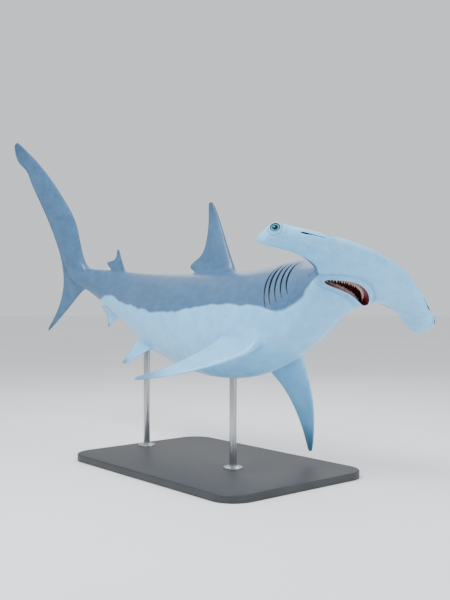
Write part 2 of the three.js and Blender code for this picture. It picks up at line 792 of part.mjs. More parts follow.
// The nostrils and the grooves that lead from them along the front edge
const edgeRows = [[SNOUT_SIDE_Y, SNOUT_SIDE.front], ...BLADE];
const frontAt = through(
  edgeRows.map((row) => row[0]),
  edgeRows.map((row) => row[1]),
);
function groove({ y, radius, back, under }, side) {
  const steps = 3;
  const points = Array.from({ length: steps + 1 }, (_, i) => {
    const at = lerp(...y, i / steps);
    return place(frontAt(at) + back, side * at, under);
  });
  return tubeBetween(points, radius);
}

// The gill slits: each leans forward as it goes in, so that the flap ahead of it lies over it
function gill(station, side) {
  const steps = 4;
  const rings = Array.from({ length: steps + 1 }, (_, i) => {
    const t = (2 * i) / steps - 1;
    const angle = side * (GILLS.angle + GILLS.span * t);
    const s = station - GILLS.bow * t * t;
    const half = (GILLS.width / 2) * (1 - 0.6 * t * t);
    const depth = GILLS.depth * (1 - 0.75 * t * t);
    const lean = (GILLS.lean * depth) / GILLS.depth;
    return [
      skinPoint(s - half + 4, angle, 4),
      skinPoint(s + half + 4, angle, 4),
      skinPoint(s + half - lean, angle, -depth),
      skinPoint(s - half - lean, angle, -depth),
    ];
  });
  return loft(rings);
}

flesh = wasm.Manifold.union([flesh, eyes.left.rim, eyes.right.rim]);
const gaps = [mouth, upperJaw.seat, lowerJaw.seat, tongueSolid(GAP), eyes.left.seat, eyes.right.seat];
for (const side of [1, -1]) {
  gaps.push(groove(NOSTRIL, side), groove(NASAL_GROOVE, side));
  GILLS.stations.forEach((station) => gaps.push(gill(station, side)));
  slab(bodySlabs, place(155, side * HAMMER_CUT_Y, 0), head.left, head.forward, 340, 170);
}
CUTS.forEach((s) => {
  const { forward, left } = axesAt(s);
  slab(bodySlabs, place(s, 0, 0), forward, left, CUT_REACH * 2, CUT_REACH * 2);
});

// The rods go straight up into the belly
function rod(station) {
  const under = place(station, 0, -underAt(station));
  const top = under.z + ROD_SINK;
  const bar = (radius, from, to) => {
    const geometry = new THREE.CylinderGeometry(radius, radius, to - from, 18);
    geometry.rotateX(Math.PI / 2);
    geometry.translate(under.x, under.y, (from + to) / 2);
    return geometrySolid(geometry);
  };
  return {
    solid: bar(ROD_RADIUS, BASE.height + GAP, top),
    seat: bar(ROD_RADIUS + GAP, BASE.height, top + GAP),
    collar: bar(COLLAR.radius, BASE.height + GAP, BASE.height + COLLAR.height),
  };
}
const rods = { front: rod(ROD_STATIONS.front), rear: rod(ROD_STATIONS.rear) };
gaps.push(rods.front.seat, rods.rear.seat);

// The base: a plate with round corners and a bevelled top edge
function base() {
  const outline = (inset) => {
    const r = BASE.corner - inset;
    const points = [];
    [[1, 1], [-1, 1], [-1, -1], [1, -1]].forEach(([x, y], quarter) => {
      for (let k = 0; k <= 5; k++) {
        const turn = (Math.PI / 2) * (quarter + k / 5);
        points.push([
          x * (BASE.length / 2 - BASE.corner) + r * Math.cos(turn),
          y * (BASE.width / 2 - BASE.corner) + r * Math.sin(turn),
        ]);
      }
    });
    return points;
  };
  const level = (z, inset) => outline(inset).map(([x, y]) => new THREE.Vector3(x, y, z));
  return loft([level(0, 0), level(BASE.height - BASE.bevel, 0), level(BASE.height, BASE.bevel)]);
}

// The flesh in its pieces, each found by a place on it: the fins come off the body before it is parted
// itself
const loose = flesh.subtract(wasm.Manifold.union(gaps)).subtract(wasm.Manifold.union(finSlabs)).decompose();
const [body, ...fins] = loose.sort((a, b) => b.volume() - a.volume());
const pieces = [...fins, ...body.subtract(wasm.Manifold.union(bodySlabs)).decompose()];
Object.assign(markers, {
  head: place(60, 0, 40),
  hammer_left: place(200, 300, 25),
  hammer_right: place(200, -300, 25),
  neck: skinPoint(465, 0),
  chest: skinPoint(785, 0),
  trunk_front: skinPoint(1115, 90),
  trunk_rear: skinPoint(1538, 0),
  tail_stalk: skinPoint(1805, 0),
  caudal_upper_lobe: place(2583, 0, 250),
  caudal_lower_lobe: place(2412, 0, -338),
});

function toGeometry(solid) {
  const mesh = solid.getMesh();
  const geometry = new THREE.BufferGeometry();
  geometry.setAttribute("position", new THREE.Float32BufferAttribute(mesh.vertProperties, 3));
  geometry.setIndex(Array.from(mesh.triVerts));
  geometry.computeVertexNormals();
  return geometry;
}

const group = new THREE.Group();
function node(name, solid, color, roughness = 0.45, metalness = 0) {
  const material = new THREE.MeshStandardMaterial({ color, roughness, metalness });
  const mesh = new THREE.Mesh(toGeometry(solid), material);
  mesh.name = name;
  group.add(mesh);
}

const shapes = pieces.map((piece) => ({ piece, geometry: toGeometry(piece) }));
const nearest = (marker, { geometry }) => {
  const position = geometry.attributes.position;
  const corner = new THREE.Vector3();
  let best = Infinity;
  for (let i = 0; i < position.count; i++) {
    best = Math.min(best, corner.fromBufferAttribute(position, i).distanceToSquared(marker));
  }
  return best;
};
for (const [name, marker] of Object.entries(markers)) {
  const found = shapes.reduce((a, b) => (nearest(marker, a) <= nearest(marker, b) ? a : b));
  const pale = /^(head|hammer|pectoral|pelvic)/.test(name);
  node(name, found.piece, pale ? "#adcce1" : "#7797b0");
}
node("eye_left", eyes.left.solid, "#69c5de", 0.1);
node("eye_right", eyes.right.solid, "#69c5de", 0.1);
node("upper_jaw", upperJaw.solid, "#d8d2c4", 0.35);
node("lower_jaw", lowerJaw.solid, "#d8d2c4", 0.35);
node("tongue", tongueSolid(0), "#a34a52", 0.5);
node("stand_base", base(), "#2b2c2e", 0.5);
for (const [name, { solid, collar, seat }] of Object.entries(rods)) {
  node(`stand_rod_${name}`, solid, "#a9acae", 0.3, 0.9);
  node(`stand_collar_${name}`, collar.subtract(seat), "#2b2c2e", 0.5);
}

export default group;
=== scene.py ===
import logging
import math
from collections.abc import Callable, Iterator
from contextlib import contextmanager
from dataclasses import dataclass, field
from enum import Enum
from functools import partial

import bmesh
import bpy
import numpy as np
from bpy.types import Material, Object
from mathutils import Matrix, Vector, noise
from mathutils.kdtree import KDTree
from numpy import ndarray


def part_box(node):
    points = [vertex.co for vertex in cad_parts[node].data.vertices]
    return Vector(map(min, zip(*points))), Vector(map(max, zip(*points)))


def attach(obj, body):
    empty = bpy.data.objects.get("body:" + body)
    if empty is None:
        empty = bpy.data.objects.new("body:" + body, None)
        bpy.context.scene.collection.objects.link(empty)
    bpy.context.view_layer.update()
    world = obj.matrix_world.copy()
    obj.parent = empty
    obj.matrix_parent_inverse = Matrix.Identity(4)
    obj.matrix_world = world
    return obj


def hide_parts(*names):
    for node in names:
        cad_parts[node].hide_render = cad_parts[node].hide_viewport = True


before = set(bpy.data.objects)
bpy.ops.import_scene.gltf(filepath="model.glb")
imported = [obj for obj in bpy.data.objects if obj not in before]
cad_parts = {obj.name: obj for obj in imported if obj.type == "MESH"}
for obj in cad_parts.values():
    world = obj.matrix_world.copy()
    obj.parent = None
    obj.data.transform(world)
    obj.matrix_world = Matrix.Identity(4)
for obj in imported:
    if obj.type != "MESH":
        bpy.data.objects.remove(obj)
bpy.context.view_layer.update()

LOG = logging.getLogger("shark")
MM = 0.001  # sizes are in millimetres and are made metres by this


# Numbers and curves


def unit(vector: ndarray) -> ndarray:
    """The vector, or each row of vectors, at length one."""
    return vector / np.linalg.norm(vector, axis=-1, keepdims=True)


def smooth_step(low: float, high: float, x: ndarray) -> ndarray:
    """Rises smoothly from 0 at low to 1 at high."""
    t = np.clip((np.asarray(x, float) - low) / (high - low), 0, 1)
    return t * t * (3 - 2 * t)


def between(a: float | ndarray, b: float | ndarray, share: float | ndarray) -> float | ndarray:
    """What lies a share of the way from a to b."""
    return a + (b - a) * share


def bump(x: ndarray, middle: float, width: float) -> ndarray:
    """A bell that is 1 at its middle and fades over a width on each side."""
    return np.exp(-((x - middle) / width) ** 2)


def circle(across: ndarray, up: ndarray, count: int) -> ndarray:
    """Points round an ellipse with the half axes across and up, one a row."""
    turn = np.linspace(0, 2 * math.pi, count, endpoint=False)[:, None]
    return np.cos(turn) * across + np.sin(turn) * up


class Curve:
    """A smooth curve through values at rising keys, held flat past its ends."""

    def __init__(self, keys: list[float], values: list[float]) -> None:
        """Works out the slope at each key.

        Args:
            keys: Where the values are, rising.
            values: The value at each key.
        """
        self.keys, self.values = np.array(keys, float), np.array(values, float)
        order = np.arange(len(keys))
        before, after = np.maximum(order - 1, 0), np.minimum(order + 1, len(keys) - 1)
        self.slopes = (self.values[after] - self.values[before]) / (self.keys[after] - self.keys[before])

    @classmethod
    def through(cls, rows: tuple, column: int = 1) -> "Curve":
        """The curve through one column of rows that each start with their key."""
        return cls([row[0] for row in rows], [row[column] for row in rows])

    def __call__(self, x: ndarray) -> ndarray:
        """Reads the curve.

        Args:
            x: One or more places along it.

        Returns:
            The value at each.
        """
        x = np.clip(np.asarray(x, float), self.keys[0], self.keys[-1])
        i = np.clip(np.searchsorted(self.keys, x, side="right") - 1, 0, len(self.keys) - 2)
        span = self.keys[i + 1] - self.keys[i]
        t = (x - self.keys[i]) / span
        rise = t * t * (3 - 2 * t)
        tangents = self.slopes[i] * t * (1 - t) ** 2 - self.slopes[i + 1] * t * t * (1 - t)
        return self.values[i] + (self.values[i + 1] - self.values[i]) * rise + span * tangents


# The animal's measures, the same as in the CAD source


@dataclass
class Spine:
    """The animal's bent axis, which turns places on the animal into places in the room.

    A place is (s, y, z) in millimetres: s back from the snout along the axis, y to the left and z over it.
    """

    head_end: float = 410
    end: float = 3000
    step: float = 10
    knot_step: float = 500
    yaw: tuple[float, ...] = (-4, 6, 0, 5, 23, 32)
    climb: tuple[float, ...] = (18.5, 5, -6, -15.5, -19, -19)
    bank: tuple[float, ...] = (-27, -11, 0, 6, 11, 18)
    anchor_station: float = 1060
    anchor: tuple[float, float, float] = (83, 3, 750)
    probe_step: float = 25  # stations tried when a point is located
    girth: float = 620  # a point further from the axis than this belongs to another bend of it
    passes: int = 4
    ahead: float = 60  # how far ahead of the snout a point may still be located
    line: ndarray = field(init=False)

    def __post_init__(self) -> None:
        """Lays the axis out from the snout back and brings it over the anchor."""
        knots = [self.head_end + i * self.knot_step for i in range(len(self.yaw))]
        self.turns = [Curve(knots, values) for values in (self.yaw, self.climb, self.bank)]
        middles = np.arange(self.step / 2, self.end, self.step)
        forward = self.axes(middles)[0]
        self.line = np.vstack([np.zeros(3), np.cumsum(-forward * self.step, axis=0)])
        self.line += np.array(self.anchor) - self.line[int(self.anchor_station / self.step)]

    def axes(self, s: ndarray) -> tuple[ndarray, ndarray, ndarray]:
        """Works out how the body is turned.

        Args:
            s: One or more stations.

        Returns:
            The forward, left and up directions at each.
        """
        yaw, climb, bank = (np.radians(turn(s)) for turn in self.turns)
        forward = np.stack([np.cos(climb) * np.cos(yaw), np.cos(climb) * np.sin(yaw), np.sin(climb)], -1)
        level = np.stack([-np.sin(yaw), np.cos(yaw), np.zeros_like(yaw)], -1)
        left = level * np.cos(bank)[..., None] + np.cross(forward, level) * np.sin(bank)[..., None]
        return forward, left, np.cross(forward, left)

    def axis_point(self, s: ndarray) -> ndarray:
        """Reads the axis.

        Args:
            s: One or more stations.

        Returns:
            The axis's own point at each, in millimetres.
        """
        at = np.clip(np.asarray(s, float) / self.step, 0, len(self.line) - 1.001)
        i = np.floor(at).astype(int)
        t = (at - i)[..., None]
        return self.line[i] * (1 - t) + self.line[i + 1] * t

    def place(self, s: ndarray, y: ndarray, z: ndarray) -> ndarray:
        """Turns places on the animal into places in the room.

        Args:
            s: Stations.
            y: How far to the left of the axis.
            z: How far over the axis.

        Returns:
            The points in the room, in millimetres.
        """
        s, y, z = (np.asarray(v, float) for v in (s, y, z))
        _, left, up = self.axes(s)
        return self.axis_point(s) + left * y[..., None] + up * z[..., None]

    def locate(self, points: ndarray) -> tuple[ndarray, ndarray, ndarray]:
        """Turns places in the room into places on the animal.

        Args:
            points: One point a row, in millimetres.

        Returns:
            The s, y and z of each.
        """
        stations = np.arange(0, self.end, self.probe_step)
        forward = self.axes(stations)[0]
        origin = self.axis_point(stations)
        ahead = points @ forward.T - (origin * forward).sum(1)
        far = np.linalg.norm(points[:, None, :] - origin[None], axis=2)
        s = stations[np.argmin(np.abs(ahead) + 5 * (far > self.girth) * far, axis=1)]
        for _ in range(self.passes):
            away = points - self.axis_point(s)
            s = np.clip(s - (away * self.axes(s)[0]).sum(1), -self.ahead, self.end - 1.5 * self.step)
        away = points - self.axis_point(s)
        _, left, up = self.axes(s)
        return s, (away * left).sum(1), (away * up).sum(1)


SPINE = Spine()
HEAD_FORWARD, HEAD_LEFT, HEAD_UP = SPINE.axes(np.array(0.0))


class Places:
    """Where points of the skin lie on the animal."""

    def __init__(self, points: ndarray) -> None:
        """Locates points.

        Args:
            points: One point a row, in millimetres.
        """
        self.points = points
        self.s, self.y, self.z = SPINE.locate(points)
        self.side = np.abs(self.y)
        self.degrees = np.degrees(np.arctan2(self.side, self.z))  # from the back down to the belly


@dataclass
class Trunk:
    """The body's girth: station, half width, height over the axis and depth under it."""

    rows: tuple = (
        (300, 122, 100, 76),
        (380, 135, 146, 116),
        (450, 148, 184, 162),
        (520, 158, 204, 208),
        (660, 170, 213, 268),
        (860, 185, 213, 303),
        (1110, 190, 215, 298),
        (1360, 180, 208, 262),
        (1620, 147, 180, 198),
        (1860, 104, 142, 134),
        (2060, 68, 104, 92),
        (2180, 50, 76, 70),
        (2230, 44, 62, 58),
    )
    rings: tuple = (
        360, 430, 500, 565, 635, 710, 785, 860, 935, 1025, 1115, 1205, 1295, 1450, 1538, 1625,
        1715, 1805, 1892, 1977, 2063, 2125, 2180, 2230,
    )
    egg: float = 0.08  # how much fuller than an ellipse it is under the axis
    columns: int = 20  # points round a ring

    def __post_init__(self) -> None:
        """Makes a curve of each measure."""
        self.width, self.over, self.under = (Curve.through(self.rows, k) for k in (1, 2, 3))

    def skin(self, s: ndarray, degrees: ndarray, grow: float = 0) -> ndarray:
        """Finds the skin.

        Args:
            s: The station.
            degrees: The angle from the back round to the left.
            grow: How far out of the skin.

        Returns:
            The point in the room, in millimetres.
        """
        turn = np.radians(np.asarray(degrees, float))
        sin, cos = np.sin(turn), np.cos(turn)
        y = (self.width(s) + grow) * sin * (1 - self.egg * cos)
        z = (np.where(cos > 0, self.over(s), self.under(s)) + grow) * cos
        return SPINE.place(s, y, z)


TRUNK = Trunk()


@dataclass
class Hammer:
    """The head's wide blade and the rows of points that make it, each row fore and aft."""

    neck_half: int = 3  # rows on each side of the head's middle one
    side_y: float = 132
    middle_front: float = 0
    middle: tuple = ((16, 20, 21), (66, 40, 38), (138, 58, 50), (216, 78, 66))  # station, height and depth
    side_front: float = 19
    side: tuple = ((33, 20, 19), (82, 38, 33), (148, 47, 41), (214, 56, 50))
    neck_corner: tuple = ((272, 38), (296, -2), (272, -38))
    drop: float = 3
    # To each side: how far out, its front, its rear, half heights over and under its middle, and its middle
    blade: tuple = (
        (182, 38, 276, 38, 34, -4),
        (236, 60, 264, 36, 32, -5),
        (290, 87, 265, 35, 31, -6),
        (341, 117, 283, 36, 32, -8),
        (388, 141, 306, 40, 36, -10),
        (425, 164, 318, 40, 36, -12),
        (448, 198, 296, 28, 26, -13),
    )
    chord: tuple = (1, 0.86, 0.66, 0.43, 0.22, 0.06, 0)
    height: tuple = (0, 0.52, 0.86, 1.04, 1.0, 0.62, 0)

    def __post_init__(self) -> None:
        """Makes the curve of the front edge."""
        self.front_at = Curve.through(((self.side_y, self.side_front), *self.blade))


HAMMER = Hammer()


@dataclass(frozen=True)
class Fin:
    """A fin: its root on the body, its sections out from there, and the rings that it grows between.

    A section is its front edge and rear edge, each as (back, out), and its half thickness.
    """

    start: float
    chord: float
    angle: float
    root: float
    sections: tuple
    first: int
    last: int


FIRST_DORSAL = Fin(985, 285, 0, 25, (
    (10, 30, 392, 27, 17), (44, 84, 262, 78, 14), (80, 150, 236, 146, 11), (118, 224, 226, 222, 8.5),
    (156, 292, 228, 290, 6.5), (196, 352, 236, 350, 4),
), 935, 1295)
SECOND_DORSAL = Fin(1906, 122, 0, 12, (
    (6, 18, 216, 16, 8), (32, 46, 118, 44, 6), (58, 78, 102, 78, 4.5), (78, 114, 100, 114, 3),
), 1892, 2063)
ANAL = Fin(1910, 130, 180, 12, (
    (8, 17, 214, 15, 8), (42, 48, 130, 44, 6), (76, 86, 116, 84, 4.5), (100, 114, 118, 112, 3),
), 1892, 2063)
PECTORAL = Fin(656, 204, 130, 23, (
    (6, 32, 262, 28, 17), (28, 96, 228, 92, 14), (62, 192, 216, 188, 11), (112, 292, 226, 288, 8.5),
    (176, 384, 246, 380, 6.5), (248, 474, 278, 470, 4),
), 635, 860)
PELVIC = Fin(1472, 132, 146, 14, (
    (6, 20, 176, 18, 9), (32, 60, 142, 58, 7), (62, 106, 136, 104, 5), (90, 144, 130, 142, 3.5),
), 1450, 1625)
PELVIC_SPREAD = (46, 4, 0)
# The tail's lobes: front edge and rear edge, each as a station and a height over the axis, and half thickness
UPPER_LOBE = (
    (2285, 95, 2318, -72, 34), (2334, 202, 2402, -8, 26), (2384, 319, 2468, 86, 20),
    (2489, 409, 2583, 250, 14.8), (2611, 510, 2701, 389, 11.5), (2686, 561, 2753, 458, 9.5),
    (2729, 590, 2778, 514, 8), (2784, 619, 2854, 535, 7), (2854, 658, 2882, 622, 5),
)
LOWER_LOBE = (
    (2264, -96, 2430, -6, 21), (2308, -168, 2408, -88, 16), (2358, -250, 2408, -186, 12),
    (2412, -338, 2430, -292, 8), (2466, -424, 2472, -400, 4.5),
)


class Side(Enum):
    """The animal's two sides, with the way y runs and how the pectoral fin is spread there."""

    LEFT = ("left", 1, (51, -8, 0))
    RIGHT = ("right", -1, (40, 25, 19))

    def __init__(self, word: str, sign: int, spread: tuple[float, float, float]) -> None:
        """Takes what tells the sides apart.

        Args:
            word: The side's name.
            sign: 1 where y is positive, else -1.
            spread: Degrees below level, degrees swept back, and degrees canted with the root's rear higher.
        """
        self.word, self.sign, self.spread = word, sign, spread


# Working in Blender


def activate(obj: Object) -> None:
    """Makes one object the only one selected, and active.

    Args:
        obj: The object.
    """
    bpy.ops.object.select_all(action="DESELECT")
    obj.select_set(True)
    bpy.context.view_layer.objects.active = obj


@contextmanager
def editing(obj: Object, action: str = "SELECT", kind: str = "VERT") -> Iterator[None]:
    """Goes into edit mode on one object and out again.

    Args:
        obj: The object.
        action: SELECT or DESELECT, done to its whole mesh first.
        kind: What selecting works on: VERT, EDGE or FACE.

    Yields:
        Nothing.
    """
    activate(obj)
    bpy.ops.object.mode_set(mode="EDIT")
    bpy.ops.mesh.select_mode(type=kind)
    bpy.ops.mesh.select_all(action=action)
    yield
    bpy.ops.object.mode_set(mode="OBJECT")


def primitive(name: str, operator: Callable, **settings: object) -> Object:
    """Starts a piece from one of Blender's primitives.

    Args:
        name: The piece's name.
        operator: The operator that adds the primitive.
        settings: The operator's own settings.

    Returns:
        The new object.
    """
    bpy.ops.object.select_all(action="DESELECT")
    operator(**settings)
    obj = bpy.context.object
    obj.name = obj.data.name = name
    return obj


def apply_modifier(obj: Object, kind: str, **settings: object) -> None:
    """Adds a modifier to an object and applies it.

    Args:
        obj: The object.
        kind: The modifier's type.
        settings: The modifier's own settings.
    """
    activate(obj)
    modifier = obj.modifiers.new(kind.title(), kind)
    for name, value in settings.items():
        setattr(modifier, name, value)
    bpy.ops.object.modifier_apply(modifier=modifier.name)


def mesh_object(name: str, points: ndarray, faces: list) -> Object:
    """Makes an object from points and faces.

    Args:
        name: The object's name.
        points: One point a row, in millimetres.
        faces: The numbers of each face's points.

    Returns:
        The new object.
    """
    mesh = bpy.data.meshes.new(name)
    mesh.from_pydata((np.asarray(points) * MM).tolist(), [], faces)
    mesh.update()
    obj = bpy.data.objects.new(name, mesh)
    bpy.context.scene.collection.objects.link(obj)
    return obj


def solid(name: str, points: ndarray, faces: list) -> Object:
    """Makes an object from a closed mesh and turns all its faces outward.

    Args:
        name: The object's name.
        points: One point a row, in millimetres.
        faces: The numbers of each face's points.

    Returns:
        The new object.
    """
    obj = mesh_object(name, points, faces)
    with editing(obj):
        bpy.ops.mesh.normals_make_consistent(inside=False)
    return obj


def bands(rings: int, count: int, closed: bool = False) -> list[tuple[int, ...]]:
    """Lists the faces between neighbouring rings of points.

    Args:
        rings: How many rings there are.
        count: How many points each has.
        closed: Whether the last ring is joined to the first.

    Returns:
        The numbers of each face's points.
    """
    faces = []
    for ring in range(rings if closed else rings - 1):
        a, b = ring * count, (ring + 1) % rings * count
        faces += [(a + i, a + (i + 1) % count, b + (i + 1) % count, b + i) for i in range(count)]
    return faces


def loft(name: str, rings: list[ndarray]) -> Object:
    """Makes a closed solid through rings of points, each end closed by a fan round its middle.

    Args:
        name: The object's name.
        rings: The rings, each with as many points.

    Returns:
        The new object.
    """
    count = len(rings[0])
    points = np.vstack([*rings, rings[0].mean(0)[None], rings[-1].mean(0)[None]])
    first, last = len(points) - 2, len(points) - 1
    end = (len(rings) - 1) * count
    faces = bands(len(rings), count)
    for i in range(count):
        j = (i + 1) % count
        faces += [(first, j, i), (last, end + i, end + j)]
    return solid(name, points, faces)


def revolve(name: str, profile: tuple, center: ndarray, axes: tuple, steps: int,
            squash: float = 1) -> Object:
    """Makes a solid by turning an outline round an axis.

    Args:
        name: The object's name.
        profile: Places along the axis and radii, from one end to the other.
        center: Where the axis starts, in millimetres.
        axes: The two directions across the axis and the axis itself.
        steps: Points round the axis.
        squash: Its height as a share of its width.

    Returns:
        The new object.
    """
    aside, up, along = axes
    ring = circle(aside, up * squash, steps)
    return loft(name, [center + along * at + ring * radius for at, radius in profile])


def join(name: str, objects: list[Object]) -> Object:
    """Joins objects into one.

    Args:
        name: The name of what they become.
        objects: The objects.

    Returns:
        The first of them, which the others are now part of.
    """
    activate(objects[0])
    for obj in objects:
        obj.select_set(True)
    bpy.ops.object.join()
    joined = bpy.context.object
    joined.name = joined.data.name = name
    return joined


def vectors(rows: bpy.types.bpy_prop_collection, key: str) -> ndarray:
    """Reads a vector of each point or face of a mesh.

    Args:
        rows: The mesh's points or faces.
        key: The vector's name: co, normal or center.

    Returns:
        One vector a row.
    """
    found = np.zeros(len(rows) * 3, np.float32)
    rows.foreach_get(key, found)
    return found.reshape(-1, 3).astype(float)


def coordinates(obj: Object) -> ndarray:
    """An object's points in millimetres, one a row."""
    return vectors(obj.data.vertices, "co") / MM


def set_coordinates(obj: Object, points: ndarray) -> None:
    """Moves an object's points to places in millimetres."""
    obj.data.vertices.foreach_set("co", (points * MM).astype(np.float32).ravel())
    obj.data.update()


def set_attribute(obj: Object, name: str, values: ndarray) -> None:
    """Keeps a number for each point, which a material reads."""
    attribute = obj.data.attributes.new(name, "FLOAT", "POINT")
    attribute.data.foreach_set("value", values.astype(np.float32))


def finish_piece(obj: Object, slot: str, nodes: list[str], *materials: Material, smooth: float = 180) -> None:
    """Dresses a piece, hangs it on the root body and hides the CAD nodes that it stands for.

    Args:
        obj: The piece.
        slot: The record's material slot; not used.
        nodes: The CAD nodes that it stands for.
        materials: What it is dressed in, where it isn't dressed yet.
        smooth: The greatest angle between faces that still looks smooth.
    """
    for material in materials:
        obj.data.materials.append(material)
    activate(obj)
    bpy.ops.object.shade_smooth_by_angle(angle=math.radians(smooth))
    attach(obj, "root")
    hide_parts(*nodes)
    LOG.info("%s: %d faces", obj.name, len(obj.data.polygons))


# Finishes


def linear(code: str) -> tuple[float, float, float, float]:
    """An sRGB hex colour as linear numbers."""
    channels = [int(code.lstrip("#")[i:i + 2], 16) / 255 for i in (0, 2, 4)]
    return (*[c / 12.92 if c <= 0.04045 else ((c + 0.055) / 1.055) ** 2.4 for c in channels], 1.0)


def per(size_mm: float) -> float:
    """The scale at which a texture repeats over a size in millimetres."""
    return 1 / (size_mm * MM)


def add_node(material: Material, kind: str, inputs: dict | None = None, stops: tuple = (),
             **settings: object) -> bpy.types.Node:
    """Adds a node to a material.

    Args:
        material: The material.
        kind: The node's type.
        inputs: For each socket's name or number, its value, or the node or socket that is linked to it.
        stops: The places and hex colours of a colour ramp, from low to high.
        settings: The node's own settings.

    Returns:
        The node.
    """
    node = material.node_tree.nodes.new(kind)
    for name, value in settings.items():
        setattr(node, name, value)
    for key, value in (inputs or {}).items():
        source = value.outputs[0] if isinstance(value, bpy.types.Node) else value
        if isinstance(source, bpy.types.NodeSocket):
            material.node_tree.links.new(source, node.inputs[key])
        else:
            node.inputs[key].default_value = source
    for number, (place, code) in enumerate(stops):
        node.color_ramp.elements[number].position = place
        node.color_ramp.elements[number].color = linear(code)
    return node


class Finish:
    """What the finishes share: a named material whose shader is fed by the finish's own nodes."""

    name: str

    def build(self) -> Material:
        """Makes the material.

        Returns:
            The new material.
        """
        material = bpy.data.materials.new(self.name)
        material.use_nodes = True
        material.node_tree.nodes.clear()
        add = partial(add_node, material)
        place = add("ShaderNodeTexCoord").outputs["Object"]
        shader = add("ShaderNodeBsdfPrincipled", self.inputs(add, place))
        add("ShaderNodeOutputMaterial", {"Surface": shader})
        return material

    def inputs(self, add: Callable[..., bpy.types.Node], place: bpy.types.NodeSocket) -> dict:
        """The values and links of the shader's sockets.

        Args:
            add: Adds a node to the material.
            place: Where a point is on the object.

        Returns:
            For each socket's name, its value or what is linked to it.
        """
        raise NotImplementedError


@dataclass(frozen=True)
class SharkSkin(Finish):
    """Live shark skin, wet: fine denticles, slate above and pale below, with a soft satin sheen."""

    name: str = "shark_skin_wet_denticles"
    back: str = "#3b5f81"
    back_light: str = "#476e93"
    belly: str = "#86cdfa"
    belly_shade: str = "#74bcec"
    tip: str = "#2f4a62"
    pore: str = "#3d5365"
    painted_crease_shade: str = "#8fa4b8"  # painted shade multiplied into the skin's hollows and creases
    denticle_mm: float = 3.0  # real ones are 0.3 mm, drawn coarser so that they show
    mottle_mm: float = 55
    freckle_mm: float = 9
    drift_mm: float = 90  # how far apart the waves of the line between slate and pale are
    pore_mm: float = 13

    def inputs(self, add: Callable[..., bpy.types.Node], place: bpy.types.NodeSocket) -> dict:
        """Slate and pale meet along the attribute `pale`; fin tips, pores, the lateral line and a painted
        shade in the hollows lie over both.

        Args:
            add: Adds a node to the material.
            place: Where a point is on the object.

        Returns:
            The shader's values and links.
        """
        pale, dusk, pores, flank, crease_shade_amount = (add("ShaderNodeAttribute", attribute_name=name).outputs["Fac"]
                                            for name in ("pale", "dusk", "pores", "flank", "crease_shade_amount"))
        mottle = add("ShaderNodeTexNoise", {"Vector": place, "Scale": per(self.mottle_mm), "Detail": 5.0,
                                            "Roughness": 0.6})
        freckle = add("ShaderNodeTexNoise", {"Vector": place, "Scale": per(self.freckle_mm), "Detail": 3.0,
                                             "Roughness": 0.7})
        most = add("ShaderNodeMath", {0: mottle, 1: 0.7}, operation="MULTIPLY")
        even = add("ShaderNodeMath", {0: freckle, 1: 0.3, 2: most}, operation="MULTIPLY_ADD")
        back = add("ShaderNodeValToRGB", {0: even}, ((0.36, self.back), (0.64, self.back_light)))
        belly = add("ShaderNodeValToRGB", {0: even}, ((0.34, self.belly_shade), (0.6, self.belly)))
        # The two meet in slow waves
        drift = add("ShaderNodeTexNoise", {"Vector": place, "Scale": per(self.drift_mm), "Detail": 1.5})
        shifted = add("ShaderNodeMath", {0: drift, 1: 0.7, 2: pale}, operation="MULTIPLY_ADD")
        edge = add("ShaderNodeMapRange", {"Value": shifted, "From Min": 0.72, "From Max": 0.98},
                   interpolation_type="SMOOTHSTEP")
        color = add("ShaderNodeMix", {0: edge, 6: back, 7: belly}, data_type="RGBA").outputs[2]
        color = add("ShaderNodeMix", {0: dusk, 6: color, 7: linear(self.tip)}, data_type="RGBA").outputs[2]
        # Painted shade: hollows and creases are darkened by multiplying in a grey-blue
        color = add("ShaderNodeMix", {0: crease_shade_amount, 6: color, 7: linear(self.painted_crease_shade)}, data_type="RGBA",
                    blend_type="MULTIPLY").outputs[2]
        # Pores and the lateral line are dark and sunk
        dots = add("ShaderNodeTexVoronoi", {"Vector": place, "Scale": per(self.pore_mm)})
        dot = add("ShaderNodeMapRange", {"Value": dots.outputs["Distance"], "From Min": 0.1, "From Max": 0.2,
                                         "To Min": 0.55, "To Max": 0.0})
        pit = add("ShaderNodeMath", {0: dot, 1: pores}, operation="MULTIPLY")
        aside = add("ShaderNodeMath", {0: flank}, operation="ABSOLUTE")
        line = add("ShaderNodeMapRange", {"Value": aside, "From Min": 0.03, "From Max": 0.09, "To Min": 0.3,
                                          "To Max": 0.0})
        sunk = add("ShaderNodeMath", {0: pit, 1: line}, operation="MAXIMUM")
        color = add("ShaderNodeMix", {0: sunk, 6: color, 7: linear(self.pore)}, data_type="RGBA").outputs[2]
        denticles = add("ShaderNodeTexVoronoi", {"Vector": place, "Scale": per(self.denticle_mm)})
        relief = add("ShaderNodeMath", {0: freckle, 1: 0.3, 2: denticles}, operation="MULTIPLY_ADD")
        relief = add("ShaderNodeMath", {0: sunk, 1: -3.0, 2: relief}, operation="MULTIPLY_ADD")
        grain = add("ShaderNodeBump", {"Height": relief, "Strength": 0.16, "Distance": 0.0012})
        rough = add("ShaderNodeMapRange", {"Value": even, "From Min": 0.3, "From Max": 0.7, "To Min": 0.34,
                                           "To Max": 0.46})
        return {"Base Color": color, "Roughness": rough, "Normal": grain, "IOR": 1.4, "Coat Weight": 0.25,
                "Coat Roughness": 0.2, "Subsurface Weight": 0.06, "Subsurface Scale": 0.01}


